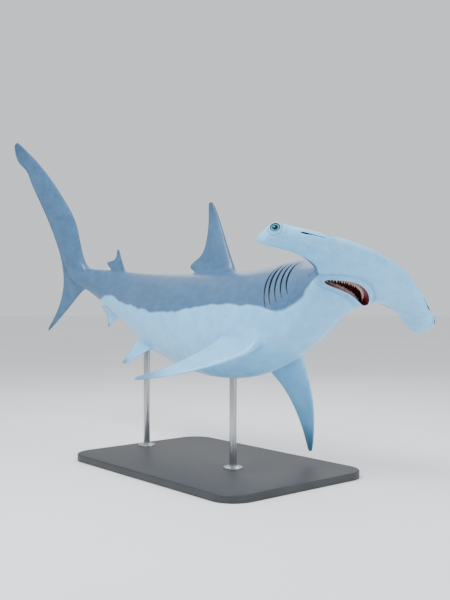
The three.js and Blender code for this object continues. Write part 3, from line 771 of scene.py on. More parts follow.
@dataclass(frozen=True)
class WetFlesh(Finish):
    """Bare flesh under a film of water: two tones in soft folds, with small bright glints."""

    name: str
    deep: str
    light: str
    fold_mm: float = 8
    relief_mm: float = 1.5
    glow: float = 0.2  # how much light goes in and comes out again
    film: float = 0.4  # how much of it the water covers
    shine: float = 0.5

    def inputs(self, add: Callable[..., bpy.types.Node], place: bpy.types.NodeSocket) -> dict:
        """The folds are pale on their crests and dark between them: the flesh's own two tones, laid so that
        the darker one sits in the furrows as painted shade.

        Args:
            add: Adds a node to the material.
            place: Where a point is on the object.

        Returns:
            The shader's values and links.
        """
        folds = add("ShaderNodeTexNoise", {"Vector": place, "Scale": per(self.fold_mm), "Detail": 5.0})
        # Painted shade: the colour follows the bump's noise, darker in the furrows
        color = add("ShaderNodeValToRGB", {0: folds}, ((0.35, self.deep), (0.68, self.light)))
        relief = add("ShaderNodeBump", {"Height": folds, "Strength": 0.45, "Distance": self.relief_mm * MM})
        return {"Base Color": color, "Roughness": 0.3, "Normal": relief, "IOR": 1.4,
                "Specular IOR Level": self.shine, "Coat Weight": self.film, "Coat Roughness": 0.12,
                "Subsurface Weight": self.glow, "Subsurface Scale": 0.005}


@dataclass(frozen=True)
class Enamel(Finish):
    """Tooth enamel: ivory at the root, harder and whiter to the tip, glossy."""

    name: str = "tooth_enamel_natural"
    root: str = "#d8cdb2"
    crown: str = "#fbf8ef"
    streak_mm: float = 3

    def inputs(self, add: Callable[..., bpy.types.Node], place: bpy.types.NodeSocket) -> dict:
        """The attribute `crown` runs from 0 at the root to 1 at the tip.

        Args:
            add: Adds a node to the material.
            place: Where a point is on the object.

        Returns:
            The shader's values and links.
        """
        crown = add("ShaderNodeAttribute", attribute_name="crown").outputs["Fac"]
        streak = add("ShaderNodeTexNoise", {"Vector": place, "Scale": per(self.streak_mm), "Detail": 2.0})
        mixed = add("ShaderNodeMath", {0: streak, 1: 0.3, 2: crown}, operation="MULTIPLY_ADD")
        color = add("ShaderNodeValToRGB", {0: mixed}, ((0.1, self.root), (0.7, self.crown)))
        return {"Base Color": color, "Roughness": 0.18, "IOR": 1.6, "Subsurface Weight": 0.1,
                "Subsurface Scale": 0.002}


@dataclass(frozen=True)
class EyeSurface(Finish):
    """A fish's eye under its clear cornea: dark pupil, ringed iris with fine fibres, glassy all over."""

    name: str = "eye_cornea_over_iris"
    pupil: str = "#04060a"
    rim: str = "#0d1a22"
    iris: str = "#58c4e6"
    iris_dark: str = "#1b6f93"
    pupil_share: float = 0.55
    rim_share: float = 0.86
    speck_mm: float = 2

    def inputs(self, add: Callable[..., bpy.types.Node], place: bpy.types.NodeSocket) -> dict:
        """The attribute `ring` runs from 0 at the middle to 1 at the lid, and `round` runs round the eye.

        Args:
            add: Adds a node to the material.
            place: Where a point is on the object.

        Returns:
            The shader's values and links.
        """
        ring, turn = (add("ShaderNodeAttribute", attribute_name=name).outputs["Fac"]
                      for name in ("ring", "round"))
        spokes = add("ShaderNodeCombineXYZ", {0: turn, 1: ring})
        fibres = add("ShaderNodeTexNoise", {"Vector": spokes, "Scale": 9.0, "Detail": 4.0})
        specks = add("ShaderNodeTexNoise", {"Vector": place, "Scale": per(self.speck_mm), "Detail": 2.0})
        both = add("ShaderNodeMath", {0: specks, 1: 0.4, 2: fibres}, operation="MULTIPLY_ADD")
        iris = add("ShaderNodeValToRGB", {0: both}, ((0.52, self.iris_dark), (0.84, self.iris)))
        outside = add("ShaderNodeMapRange", {"Value": ring, "From Min": self.pupil_share - 0.015,
                                             "From Max": self.pupil_share + 0.015})
        color = add("ShaderNodeMix", {0: outside, 6: linear(self.pupil), 7: iris},
                    data_type="RGBA").outputs[2]
        edge = add("ShaderNodeMapRange", {"Value": ring, "From Min": self.rim_share - 0.05,
                                          "From Max": self.rim_share + 0.03})
        color = add("ShaderNodeMix", {0: edge, 6: color, 7: linear(self.rim)}, data_type="RGBA").outputs[2]
        return {"Base Color": color, "Roughness": 0.3, "IOR": 1.376, "Specular IOR Level": 0.2,
                "Coat Weight": 0.45, "Coat Roughness": 0.02}


@dataclass(frozen=True)
class Lacquer(Finish):
    """A plate sprayed with matt black lacquer: an even dark coat, faintly pebbled."""

    name: str = "lacquer_matt_sprayed"
    coat: str = "#26282b"
    light: str = "#33363a"
    pebble_mm: float = 4
    cloud_mm: float = 200

    def inputs(self, add: Callable[..., bpy.types.Node], place: bpy.types.NodeSocket) -> dict:
        """Broad clouds of tone and gloss over a fine pebble.

        Args:
            add: Adds a node to the material.
            place: Where a point is on the object.

        Returns:
            The shader's values and links.
        """
        pebble = add("ShaderNodeTexNoise", {"Vector": place, "Scale": per(self.pebble_mm), "Detail": 3.0})
        cloud = add("ShaderNodeTexNoise", {"Vector": place, "Scale": per(self.cloud_mm), "Detail": 3.0})
        color = add("ShaderNodeValToRGB", {0: cloud}, ((0.35, self.coat), (0.7, self.light)))
        relief = add("ShaderNodeBump", {"Height": pebble, "Strength": 0.12, "Distance": 0.0005})
        rough = add("ShaderNodeMapRange", {"Value": cloud, "To Min": 0.42, "To Max": 0.6})
        return {"Base Color": color, "Roughness": rough, "Normal": relief, "IOR": 1.5}


@dataclass(frozen=True)
class Steel(Finish):
    """Stainless steel tube, brushed round: grey, bright, with fine level scratches."""

    name: str = "stainless_steel_brushed"
    base: str = "#b8bbbd"
    dark: str = "#a4a8ab"
    scratch_mm: float = 0.7
    length_mm: float = 120

    def inputs(self, add: Callable[..., bpy.types.Node], place: bpy.types.NodeSocket) -> dict:
        """The scratches are a noise drawn out level, round the tube.

        Args:
            add: Adds a node to the material.
            place: Where a point is on the object.

        Returns:
            The shader's values and links.
        """
        level = per(self.length_mm)
        drawn = add("ShaderNodeMapping", {"Vector": place, "Scale": (level, level, per(self.scratch_mm))})
        lines = add("ShaderNodeTexNoise", {"Vector": drawn, "Scale": 1.0, "Detail": 2.0})
        color = add("ShaderNodeValToRGB", {0: lines}, ((0.3, self.dark), (0.7, self.base)))
        rough = add("ShaderNodeMapRange", {"Value": lines, "To Min": 0.24, "To Max": 0.36})
        relief = add("ShaderNodeBump", {"Height": lines, "Strength": 0.05, "Distance": 0.0002})
        return {"Base Color": color, "Metallic": 1.0, "Roughness": rough, "Normal": relief}


@dataclass(frozen=True)
class StudioFloor(Finish):
    """Pale painted studio floor, matt and even."""

    name: str = "studio_floor_matt_paint"
    paint: str = "#f6f7f8"
    shade: str = "#eff1f3"
    cloud_mm: float = 1700

    def inputs(self, add: Callable[..., bpy.types.Node], place: bpy.types.NodeSocket) -> dict:
        """Very broad, faint clouds, as a roller leaves them.

        Args:
            add: Adds a node to the material.
            place: Where a point is on the object.

        Returns:
            The shader's values and links.
        """
        cloud = add("ShaderNodeTexNoise", {"Vector": place, "Scale": per(self.cloud_mm), "Detail": 2.0})
        color = add("ShaderNodeValToRGB", {0: cloud}, ((0.3, self.shade), (0.7, self.paint)))
        return {"Base Color": color, "Roughness": 0.85, "IOR": 1.45}


# The animal's cage


class Cage:
    """The coarse points and faces that subdivision turns into the skin."""

    def __init__(self) -> None:
        """Starts with neither points nor faces."""
        self.points: list[ndarray] = []
        self.faces: list[tuple[int, ...]] = []

    def add(self, point: ndarray) -> int:
        """Adds a point and gives its number."""
        self.points.append(np.asarray(point, float))
        return len(self.points) - 1

    def join(self, row_a: list[int], row_b: list[int], start: int = 0, stop: int | None = None) -> None:
        """Makes faces between two closed rows of points.

        Args:
            row_a: The points of one row.
            row_b: As many points of the other.
            start: Where in the rows the faces start.
            stop: Where they stop, or None to go all round.
        """
        for i in range(start, len(row_a) if stop is None else stop):
            j = (i + 1) % len(row_a)
            self.faces.append((row_a[i], row_a[j], row_b[j], row_b[i]))

    def close(self, loop: list[int]) -> None:
        """Closes a flat loop.

        Args:
            loop: Its points, from one edge round, with the other edge half way.
        """
        count, half = len(loop), len(loop) // 2
        self.faces.append((loop[0], loop[1], loop[count - 1]))
        for i in range(1, half - 1):
            self.faces.append((loop[i], loop[i + 1], loop[count - i - 1], loop[count - i]))
        self.faces.append((loop[half - 1], loop[half], loop[half + 1]))


def foil(count: int) -> list[tuple[float, float]]:
    """Works out the rounded, tapering section of a fin.

    Args:
        count: The points of a fin's loop.

    Returns:
        Where each lies along the chord and how thick the fin is there, minus on the second side.
    """
    front, run = 0.07, 0.85  # where the first point behind the front edge is, and from it to the last
    half = count // 2
    shape = []
    for i in range(count):
        step = i if i <= half else count - i
        if step in (0, half):
            shape.append((float(step == half), 0.0))
            continue
        c = front + run * (step - 1) / (half - 2)
        thick = 0.8 + 0.9 * c * (1 - c) - 0.5 * c * c
        shape.append((c, thick if i < half else -thick))
    return shape


class BodyCage(Cage):
    """The whole animal's cage: hammer, trunk, tail and fins."""

    TIP = 0.45  # how far past its last loop a fin is rounded, as a share of that loop's reach
    TIP_SIZE = 0.5  # the size of the loop that rounds it, as a share of the last
    NAPE = 0.55  # how far back from the head to the first ring the nape's ring lies
    LOBE_FLAT = 3  # rings over which the tail's upper lobe becomes a flat fin
    LOBE_ROWS = 3  # rings that the root of the lower lobe takes up
    FILLET = 3  # how far out of the skin a fin's first loop lies
    COLUMNS = {"pectoral": 7, "pelvic": 8}  # the trunk's column that a paired fin's root is centred on
    TAIL_DUSK = 150  # how far the upper lobe's dusky tip reaches
    FIN_DUSK = 0.36  # how far a fin's dusky tip reaches, as a share of the fin
    MARGIN_POINTS = 16  # points between two corners of a fin's rear edge

    def __init__(self) -> None:
        """Lays out every row, ring and fin."""
        super().__init__()
        self.openings: set[tuple[int, int]] = set()
        self.tips: list[tuple[ndarray, float]] = []  # each fin's end and its dusky tip's reach
        self.margins: list[ndarray] = []  # points along the rear edge of each fin
        self.lay_head()
        self.lay_tube()
        for fin in (FIRST_DORSAL, SECOND_DORSAL, ANAL):
            self.middle_fin(fin)
        for side in Side:
            self.paired_fin(PECTORAL, side, side.spread, self.COLUMNS["pectoral"])
        for side in Side:
            self.paired_fin(PELVIC, side, PELVIC_SPREAD, self.COLUMNS["pelvic"])
        self.lower_lobe()
        for row in range(len(self.tube) - 1):
            for k in range(TRUNK.columns):
                if (row, k) not in self.openings:
                    self.join(self.tube[row], self.tube[row + 1], k, k + 1)
        self.close(self.tube[-1])
        self.tips.append((self.points[self.tube[-1][0]], self.TAIL_DUSK))
        self.add_margin([self.points[ring[TRUNK.columns // 2]] for ring in self.tube[-len(UPPER_LOBE):]])

    def snout_row(self, row: int) -> list[int | None]:
        """Lays one fore-and-aft row of the head's middle.

        Args:
            row: Its number, counted from the middle row to the left.

        Returns:
            The numbers of its points, with None where the neck leaves it open.
        """
        side = (row / HAMMER.neck_half) ** 2
        y = HAMMER.side_y * row / HAMMER.neck_half
        sunk = -HAMMER.drop * side
        at = [[between(a, b, side) for a, b in zip(m, e)] for m, e in zip(HAMMER.middle, HAMMER.side)]
        front = between(HAMMER.middle_front, HAMMER.side_front, side)
        spots = [(s, sunk + over) for s, over, _ in reversed(at)] + [(front, sunk)]
        spots += [(s, sunk - under) for s, _, under in at]
        loop = [None, None, *[self.add(SPINE.place(s, y, z)) for s, z in spots], None]
        if abs(row) == HAMMER.neck_half:
            for index, (s, z) in zip((1, 0, 11), HAMMER.neck_corner):
                loop[index] = self.add(SPINE.place(s, y, z))
        return loop

    def blade_row(self, sizes: tuple, sign: int) -> list[int]:
        """Lays one fore-and-aft row of the hammer's blade.

        Args:
            sizes: The row's own measures.
            sign: 1 on the left, else -1.

        Returns:
            The numbers of its points.
        """
        y, front, rear, over, under, z = sizes
        spots = [(k, over) for k in range(6)] + [(k, -under) for k in range(6, 0, -1)]
        return [self.add(SPINE.place(between(front, rear, HAMMER.chord[k]), sign * y,
                                     z + half * HAMMER.height[k])) for k, half in spots]

    def lay_head(self) -> None:
        """Lays the rows of the head from its right end to its left end."""
        half = HAMMER.neck_half
        right = [self.blade_row(row, -1) for row in reversed(HAMMER.blade)]
        self.snout = [self.snout_row(row) for row in range(-half, half + 1)]
        left = [self.blade_row(row, 1) for row in HAMMER.blade]
        rows = [*right, *self.snout, *left]
        for i in range(len(rows) - 1):
            over_neck = len(right) <= i < len(right) + 2 * half
            self.join(rows[i], rows[i + 1], 2 if over_neck else 0, 10 if over_neck else None)
        self.close(rows[-1])
        self.close([rows[0][0], *reversed(rows[0][1:])])

    def lay_tube(self) -> None:
        """Lays the rings from the neck to the tail's tip."""
        snout = self.snout
        neck = [snout[row][2] for row in (3, 4, 5, 6)] + [snout[6][k] for k in (1, 0, 11)]
        neck += [snout[row][10] for row in (6, 5, 4, 3, 2, 1, 0)] + [snout[0][k] for k in (11, 0, 1)]
        neck += [snout[row][2] for row in (0, 1, 2)]
        angles = np.arange(TRUNK.columns) * 360 / TRUNK.columns
        rings = [[self.add(TRUNK.skin(s, angle)) for angle in angles] for s in TRUNK.rings]
        nape = [self.add(self.points[a] * (1 - self.NAPE) + self.points[b] * self.NAPE)
                for a, b in zip(neck, rings[0])]
        tail = []
        for order, (front_s, front_z, rear_s, rear_z, half) in enumerate(UPPER_LOBE):
            flat = min(order / self.LOBE_FLAT, 1)
            c = (1 - np.cos(np.radians(angles))) / 2
            y = half * np.sin(np.radians(angles)) * (1 + (0.25 - 0.75 * c) * flat)
            spots = SPINE.place(between(front_s, rear_s, c), y, between(front_z, rear_z, c))
            tail.append([self.add(spot) for spot in spots])
        last, before = (np.array([self.points[k] for k in ring]) for ring in (tail[-1], tail[-2]))
        tail.append([self.add(spot) for spot in self.rounded(last, before)])
        self.tube = [neck, nape, *rings, *tail]

    def tube_row(self, s: float) -> int:
        """The place in the tube of the ring at a station."""
        return 2 + TRUNK.rings.index(s)

    def patch(self, first: int, last: int, middle: int) -> list[int]:
        """Opens a patch of the tube's faces, two columns wide, that a fin grows from.

        Args:
            first: The row that it starts at.
            last: The row that it ends at.
            middle: The column down its middle.

        Returns:
            The points of its border, from the front edge round.
        """
        columns = TRUNK.columns
        low, mid, high = ((middle + k) % columns for k in (-1, 0, 1))
        rows = range(first, last + 1)
        self.openings |= {(row, column) for row in range(first, last) for column in (low, mid)}
        border = [self.tube[first][mid], *[self.tube[row][high] for row in rows]]
        return [*border, self.tube[last][mid], *[self.tube[row][low] for row in reversed(rows)]]

    def rounded(self, last: ndarray, before: ndarray) -> ndarray:
        """Works out one more, smaller loop, which rounds a fin's tip.

        Args:
            last: The points of the fin's last loop.
            before: The points of the loop before it.

        Returns:
            The points of the smaller loop.
        """
        tip = last.mean(0)
        reach = np.linalg.norm(last - tip, axis=1).max()
        return tip + unit(tip - before.mean(0)) * self.TIP * reach + (last - tip) * self.TIP_SIZE

    def grow(self, border: list[int], loops: list[list[ndarray]]) -> None:
        """Grows a fin from a border and closes its tip.

        Args:
            border: The border's points.
            loops: As many points for each loop, from the root out.
        """
        previous = border
        loops = [*loops, self.rounded(np.array(loops[-1]), np.array(loops[-2]))]
        for points in loops:
            loop = [self.add(point) for point in points]
            self.join(previous, loop)
            previous = loop
        self.close(previous)
        base, tip = np.mean(loops[0], axis=0), np.mean(loops[-1], axis=0)
        self.tips.append((tip, self.FIN_DUSK * float(np.linalg.norm(tip - base))))
        self.add_margin([points[len(points) // 2] for points in loops[1:]])

    def add_margin(self, corners: list[ndarray]) -> None:
        """Keeps points close together along a fin's rear edge, given by its corners."""
        for a, b in zip(corners, corners[1:]):
            self.margins.append(a + (b - a) * np.linspace(0, 1, self.MARGIN_POINTS)[:, None])

    def loops(self, fin: Fin, count: int, angle: float, spot: Callable[..., ndarray],
              cant: float = 0) -> list[list[ndarray]]:
        """Works out the loops of a fin: the first on the skin and the others from its sections.

        Args:
            fin: The fin.
            count: The points of a loop.
            angle: Where its root is, in degrees from the back.
            spot: Gives the place on the fin that is some way back, out and aside.
            cant: By how many degrees the root's rear is higher than its front.

        Returns:
            The points of each loop.
        """
        shape = foil(count)
        base = []
        for c, thick in shape:
            s = fin.start + c * fin.chord
            turn = math.degrees(fin.root / float(TRUNK.width(s))) * np.sign(thick) * (0.95 - 0.3 * c)
            base.append(TRUNK.skin(s, angle + turn + cant * (c - 0.5), self.FILLET))
        return [base, *[[spot(between(front, rear, c), between(front_out, rear_out, c), half * thick)
                         for c, thick in shape] for front, front_out, rear, rear_out, half in fin.sections]]

    def middle_fin(self, fin: Fin) -> None:
        """Grows a fin in the animal's middle plane, bent with the spine.

        Args:
            fin: The fin.
        """
        sign = 1 if fin.angle == 0 else -1
        mid = fin.start + fin.chord / 2
        skin = float(TRUNK.over(mid) if sign > 0 else TRUNK.under(mid))
        column = 0 if sign > 0 else TRUNK.columns // 2
        border = self.patch(self.tube_row(fin.first), self.tube_row(fin.last), column)

        def spot(back: float, out: float, aside: float) -> ndarray:
            """A place on the fin."""
            return SPINE.place(fin.start + back, sign * aside, sign * (skin + out))

        self.grow(border, self.loops(fin, len(border), fin.angle, spot))

    def paired_fin(self, fin: Fin, side: Side, spread: tuple[float, float, float], middle: int) -> None:
        """Grows a stiff fin on one side, spread from the body's frame at its root.

        Args:
            fin: The fin.
            side: The side.
            spread: How far it droops, is swept back and is canted, in degrees.
            middle: The column of the trunk, counted to the left, that its root is centred on.
        """
        mid = fin.start + fin.chord / 2
        angle = fin.angle if side.sign > 0 else 360 - fin.angle
        forward, left, up = SPINE.axes(np.array(mid))
        droop, sweep, cant = (math.radians(part) for part in spread)
        out = left * side.sign * math.cos(droop) - up * math.sin(droop)
        back = -forward
        normal = np.cross(back, out)
        turn = Matrix.Rotation(-sweep, 3, Vector(normal))
        out, back = np.array(turn @ Vector(out)), np.array(turn @ Vector(back))
        turn = Matrix.Rotation(side.sign * cant, 3, Vector(out))
        back, normal = np.array(turn @ Vector(back)), np.array(turn @ Vector(normal))
        root = TRUNK.skin(mid, angle)
        column = middle if side.sign > 0 else TRUNK.columns - middle
        border = self.patch(self.tube_row(fin.first), self.tube_row(fin.last), column)

        def spot(b: float, o: float, aside: float) -> ndarray:
            """A place on the fin."""
            return root + back * (b - fin.chord / 2) + out * o + normal * aside

        self.grow(border, self.loops(fin, len(border), angle, spot, -side.sign * spread[2]))

    def lower_lobe(self) -> None:
        """Grows the tail's lower lobe."""
        row = self.tube_row(TRUNK.rings[-1])
        border = self.patch(row, row + self.LOBE_ROWS, TRUNK.columns // 2)
        shape = foil(len(border))
        loops = [[SPINE.place(between(front_s, rear_s, c), -half * thick, between(front_z, rear_z, c))
                  for c, thick in shape] for front_s, front_z, rear_s, rear_z, half in LOWER_LOBE]
        self.grow(border, loops)


# The skin and its forms


class Form:
    """A fine form of the skin: where it is, how it raises or shapes the skin, and what it cuts out of it."""

    lining: int = 2  # the skin's material slot that lines what it cuts out, a near-black painted shadow

    def around(self, at: Places, margin: float) -> ndarray:
        """Tells where the skin is made finer for this form.

        Args:
            at: Points of the skin.
            margin: How far within the finer part a point has to lie.

        Returns:
            Whether each point does.
        """
        raise NotImplementedError

    def lift(self, at: Places) -> ndarray:
        """How far it raises the skin at points."""
        return np.zeros(len(at.s))

    def shape(self, points: ndarray) -> ndarray:
        """Where it moves points of the raised skin to."""
        return points

    def cutters(self) -> list[Object]:
        """The solids that it cuts out of the skin."""
        return []


@dataclass
class Mouth(Form):
    """The mouth: an arch under the head from corner to corner that leads up and back."""

    half_width: float = 116
    front: float = 172
    back: float = 96  # how far behind its front the corners are
    open: float = 64
    least: float = 4  # how far it is open at the corners
    reach: float = 0.985  # how much of the arch is cut open
    lift_z: tuple[float, float] = (-50, -68)  # heights of the upper and the lower lip in the middle
    rise: float = 10  # how much higher the corners are
    slope: float = 37
    depth: float = 96
    shallow: float = 0.4  # the depth at the corners, as a share
    lip: float = 6
    lip_width: float = 9
    furrow: float = 3
    furrow_at: tuple[float, float] = (21, 7)  # how far from the lips it is, and its width
    fine: float = 28  # how far from the lips the skin is finer
    fine_box: tuple = (140, 312, 150, -20)  # the box where that is
    lift_box: tuple = (110, 345, 165, 0)  # the box where lip and furrow are raised
    steps: int = 36
    probes: int = 81
    # The hollow from outside in: millimetres and share of the depth, and share of the gape
    walls: tuple = ((-45, 0, 1.0), (-12, 0, 1.0), (0, 0, 0.98), (14, 0, 0.97), (34, 0, 1.0), (0, 0.62, 1.02),
                    (0, 0.84, 0.9), (0, 0.96, 0.62), (3, 1, 0.25))
    lining: int = 1

    def __post_init__(self) -> None:
        """Works out the way in and the way across from roof to floor."""
        turn = math.radians(self.slope)
        self.inward = -HEAD_FORWARD * math.cos(turn) + HEAD_UP * math.sin(turn)
        self.across = -HEAD_FORWARD * math.sin(turn) - HEAD_UP * math.cos(turn)

    def lips(self, u: float) -> tuple[ndarray, ndarray, float]:
        """Finds the lips.

        Args:
            u: Where across the mouth, from -1 to 1.

        Returns:
            The upper lip, the lower lip and how round the arch is there.
        """
        y = self.half_width * u
        s = self.front + self.back * u * u
        round_ = math.sqrt(max(1 - u * u, 0))
        gape = max(self.open * round_, self.least)
        upper = SPINE.place(s, y, self.lift_z[0] + self.rise * u * u)
        low = self.lift_z[1] + (self.lift_z[0] - self.lift_z[1]) * (1 - round_)
        lower = SPINE.place(s + gape, y, low + self.rise * u * u)
        return upper, lower, round_

    def moved(self, point: ndarray, along: float, aside: float = 0) -> ndarray:
        """A point moved into the mouth and from its roof to its floor."""
        return point + self.inward * along + self.across * aside

    def near(self, at: Places, box: tuple) -> ndarray:
        """Measures how far points are from the nearer lip's edge, seen along the way in.

        Args:
            at: Points of the skin.
            box: Those that are measured: from and to which station, how far out and under which height.

        Returns:
            The distance of each, which is endless out of the box.
        """
        first, last, out, top = box
        inside = (at.s > first) & (at.s < last) & (at.side < out) & (at.z < top)
        edges = np.array([lip for u in np.linspace(-1, 1, self.probes) for lip in self.lips(u)[:2]])
        away = at.points[inside][:, None] - edges[None]
        away -= (away @ self.inward)[..., None] * self.inward
        far = np.full(len(at.s), np.inf)
        far[inside] = np.linalg.norm(away, axis=2).min(1)
        return far

    def around(self, at: Places, margin: float) -> ndarray:
        """Near the lips."""
        return self.near(at, self.fine_box) < self.fine - margin

    def lift(self, at: Places) -> ndarray:
        """A ridge along the lips with a furrow outside it."""
        far = self.near(at, self.lift_box)
        return self.lip * bump(far, 0, self.lip_width) - self.furrow * bump(far, *self.furrow_at)

    def cutters(self) -> list[Object]:
        """The hollow of the mouth.

        Returns:
            The solid to cut with.
        """
        rings = []
        for i in range(self.steps + 1):
            upper, lower, round_ = self.lips(self.reach * math.sin((i / self.steps * 2 - 1) * math.pi / 2))
            depth = self.depth * between(self.shallow, 1, round_)
            mid, half = (upper + lower) / 2, (lower - upper) / 2
            walls = [(self.inward * (extra + depth * share), half * gape)
                     for extra, share, gape in self.walls]
            rings.append(np.array([*[mid - wide + deep for deep, wide in walls],
                                   *[mid + wide + deep for deep, wide in reversed(walls)]]))
        return [loft("mouth_cutter", rings)]


@dataclass
class Eye(Form):
    """An eye at the outer front corner of the hammer, and its socket and lid."""

    side: Side
    s: float = 184
    y: float = 433
    z: float = -10
    radius: float = 27
    play: float = 0.2  # how much wider than the ball its seat is
    forward: float = 44
    down: float = 8
    stands: float = 9  # how far it stands out of the hammer
    lid: float = 4.6  # thickness of the lid over the ball
    lid_soft: float = 9  # how far to both sides of the lid's shell the skin is drawn to it
    lid_from: tuple = (-0.35, 0.15)  # where the lid starts and is whole, as shares ahead of the ball's middle
    opening: float = 20.5
    # The opening ahead of the seat: how far, as a share of the seat's radius, and how much wider it is there
    flare: tuple = ((0.9, 0), (1.25, 3), (2.2, 8))
    crease: float = 1.6  # depth of the fold round the lid
    crease_out: float = 9
    crease_width: float = 2.6
    fine: float = 46  # how far from its centre the skin is finer
    squash: float = 0.93
    cornea: float = 1.6  # how far the cornea is raised
    cornea_edge: tuple = (46, 8)  # degrees from its middle at which it starts to rise and is highest
    groove: float = 0.5
    groove_at: tuple = (46, 52, 58)  # degrees at which the groove round it starts, is deepest and ends
    fibre: float = 12  # degrees round the iris that one fibre takes

    def __post_init__(self) -> None:
        """Works out where it looks and its centre."""
        turn, dip = math.radians(self.forward), math.radians(self.down)
        look = HEAD_LEFT * self.side.sign * math.cos(turn) * math.cos(dip)
        look = look + HEAD_FORWARD * math.sin(turn) * math.cos(dip) - HEAD_UP * math.sin(dip)
        up = unit(HEAD_UP - look * (HEAD_UP @ look))
        self.axes = (np.cross(up, look), up, look)
        surface = SPINE.place(self.s, self.side.sign * self.y, self.z)
        self.center = surface + look * (self.stands - self.radius)

    def around(self, at: Places, margin: float) -> ndarray:
        """Near the ball."""
        return np.linalg.norm(at.points - self.center, axis=1) < self.fine - margin / 2

    def shape(self, points: ndarray) -> ndarray:
        """The lid is a shell over the ball that the skin runs into softly, with a crease round it.

        Args:
            points: Points of the raised skin.

        Returns:
            Where they are moved to.
        """
        away = points - self.center
        r = np.linalg.norm(away, axis=1)
        shell = self.radius + self.lid
        t = np.clip((shell - r) / self.lid_soft * 0.5 + 0.5, 0, 1)
        target = r + (shell - r) * t + self.lid_soft * t * (1 - t)
        ahead = away @ self.axes[2]
        outer = smooth_step(*self.lid_from, ahead / np.maximum(r, 1))
        aside = np.linalg.norm(away - ahead[:, None] * self.axes[2], axis=1)
        crease = self.crease * bump(aside, self.opening + self.crease_out, self.crease_width) * (ahead > 0)
        return self.center + away * (1 + (target / r - 1) * outer - crease / np.maximum(r, 1))[:, None]

    def cutters(self) -> list[Object]:
        """The ball's seat with the lid's opening in front of it.

        Returns:
            The solid to cut with.
        """
        seat = self.radius + self.play
        back = [(-math.cos(a) * seat, math.sin(a) * seat) for a in np.linspace(0.06, math.pi, 25)]
        kept = [(at, r) for at, r in back if at < 0 or r > self.opening]
        flare = [(seat * share, self.opening + grown) for share, grown in self.flare]
        return [revolve(f"socket_{self.side.word}", (*kept, *flare), self.center, self.axes, 48, self.squash)]

    def build(self, material: Material) -> None:
        """Models the ball with its raised cornea and dresses it.

        Args:
            material: What it is dressed in.
        """
        ball = primitive(f"eye_{self.side.word}_ball", bpy.ops.mesh.primitive_uv_sphere_add, segments=64,
                         ring_count=48, radius=self.radius * MM)
        points = coordinates(ball)
        away = np.degrees(np.arccos(np.clip(points[:, 2] / self.radius, -1, 1)))
        start, deepest, end = self.groove_at
        rise = self.cornea * smooth_step(*self.cornea_edge, away)
        rise -= self.groove * smooth_step(start, deepest, away) * smooth_step(end, deepest, away)
        out = np.hypot(points[:, 0], points[:, 1])
        set_attribute(ball, "ring", np.where(points[:, 2] > 0, out / self.opening, 1.5))
        points *= (1 + rise / self.radius)[:, None]
        set_attribute(ball, "round", np.abs(np.degrees(np.arctan2(points[:, 1], points[:, 0]))) / self.fibre)
        set_coordinates(ball, points @ np.array(self.axes) + self.center)
        finish_piece(ball, "eye", [f"eye_{self.side.word}"], material)


@dataclass
class Gills(Form):
    """Five slits on each side, each under the edge of the flap ahead of it."""

    stations: tuple[float, ...] = (478, 514, 550, 586, 618)
    angle: float = 72
    span: float = 37
    width: float = 20
    depth: float = 24
    narrow: float = 0.93  # how much narrower a slit is at its ends, as a share
    shallow: float = 0.75  # how much shallower
    bow: float = 15
    lean: float = 16
    over: float = 9  # how far out of the skin the cut starts
    behind: float = 6  # how far behind its station a slit's mouth is
    flap: float = 4
    spacing: float = 34  # how far ahead of its slit a flap starts to rise
    crest: float = 9  # how far ahead of the slit's middle the flap is highest
    fall: float = 17  # how far behind its crest the flap has gone down again
    fine: tuple = (44, 20, 230, 7)  # how far ahead, behind, out and in degrees past the slits it is finer
    lift_box: tuple = (400, 650, 260)  # from and to which station, and how far out, the flaps are raised
    steps: int = 20

    def around(self, at: Places, margin: float) -> ndarray:
        """Round the slits and the flaps.

        Args:
            at: Points of the skin.
            margin: How far inside the finer part's border.

        Returns:
            Whether each point lies there.
        """
        ahead, behind, out, past = self.fine
        found = (at.s > self.stations[0] - ahead + margin) & (at.s < self.stations[-1] + behind - margin)
        return found & (at.side < out) & (np.abs(at.degrees - self.angle) < self.span + past - margin / 3)

    def lift(self, at: Places) -> ndarray:
        """Each flap rises to a crest and goes down smoothly behind it.

        Args:
            at: Points of the skin.

        Returns:
            How far each is raised.
        """
        t = (at.degrees - self.angle) / self.span
        lift = np.zeros_like(at.s)
        for station in self.stations:
            ahead = station - self.crest - self.bow * t * t - at.s
            ramp = np.clip(1 - ahead / self.spacing, 0, 1) ** 1.7
            fall = smooth_step(-self.fall, 0, ahead)
            lift = np.maximum(lift, self.flap * np.where(ahead >= 0, ramp, fall))
        first, last, out = self.lift_box
        return np.where((at.s > first) & (at.s < last) & (at.side < out),
                        lift * smooth_step(1.25, 0.75, np.abs(t)), 0)

    def cutters(self) -> list[Object]:
        """The slits of both sides."""
        return [self.slit(f"slit_{side.word}_{number}", side, station)
                for side in Side for number, station in enumerate(self.stations)]

    def slit(self, name: str, side: Side, station: float) -> Object:
        """Makes one slit, bowed, slanting forward as it goes in, and narrow and shallow at its ends.

        Args:
            name: The solid's name.
            side: The side that it is on.
            station: Where its middle is.

        Returns:
            The solid to cut with.
        """
        rings = []
        for i in range(self.steps + 1):
            t = 2 * i / self.steps - 1
            angle = side.sign * (self.angle + self.span * t)
            s = station - self.bow * t * t
            half = self.width / 2 * (1 - self.narrow * t * t)
            depth = self.depth * (1 - self.shallow * t * t)
            lean = self.lean * depth / self.depth
            corners = ((self.behind - half, self.over), (self.behind + half, self.over),
                       (half - lean, -depth), (-half - lean, -depth))
            rings.append(np.array([TRUNK.skin(s + back, angle, out) for back, out in corners]))
        return loft(name, rings)


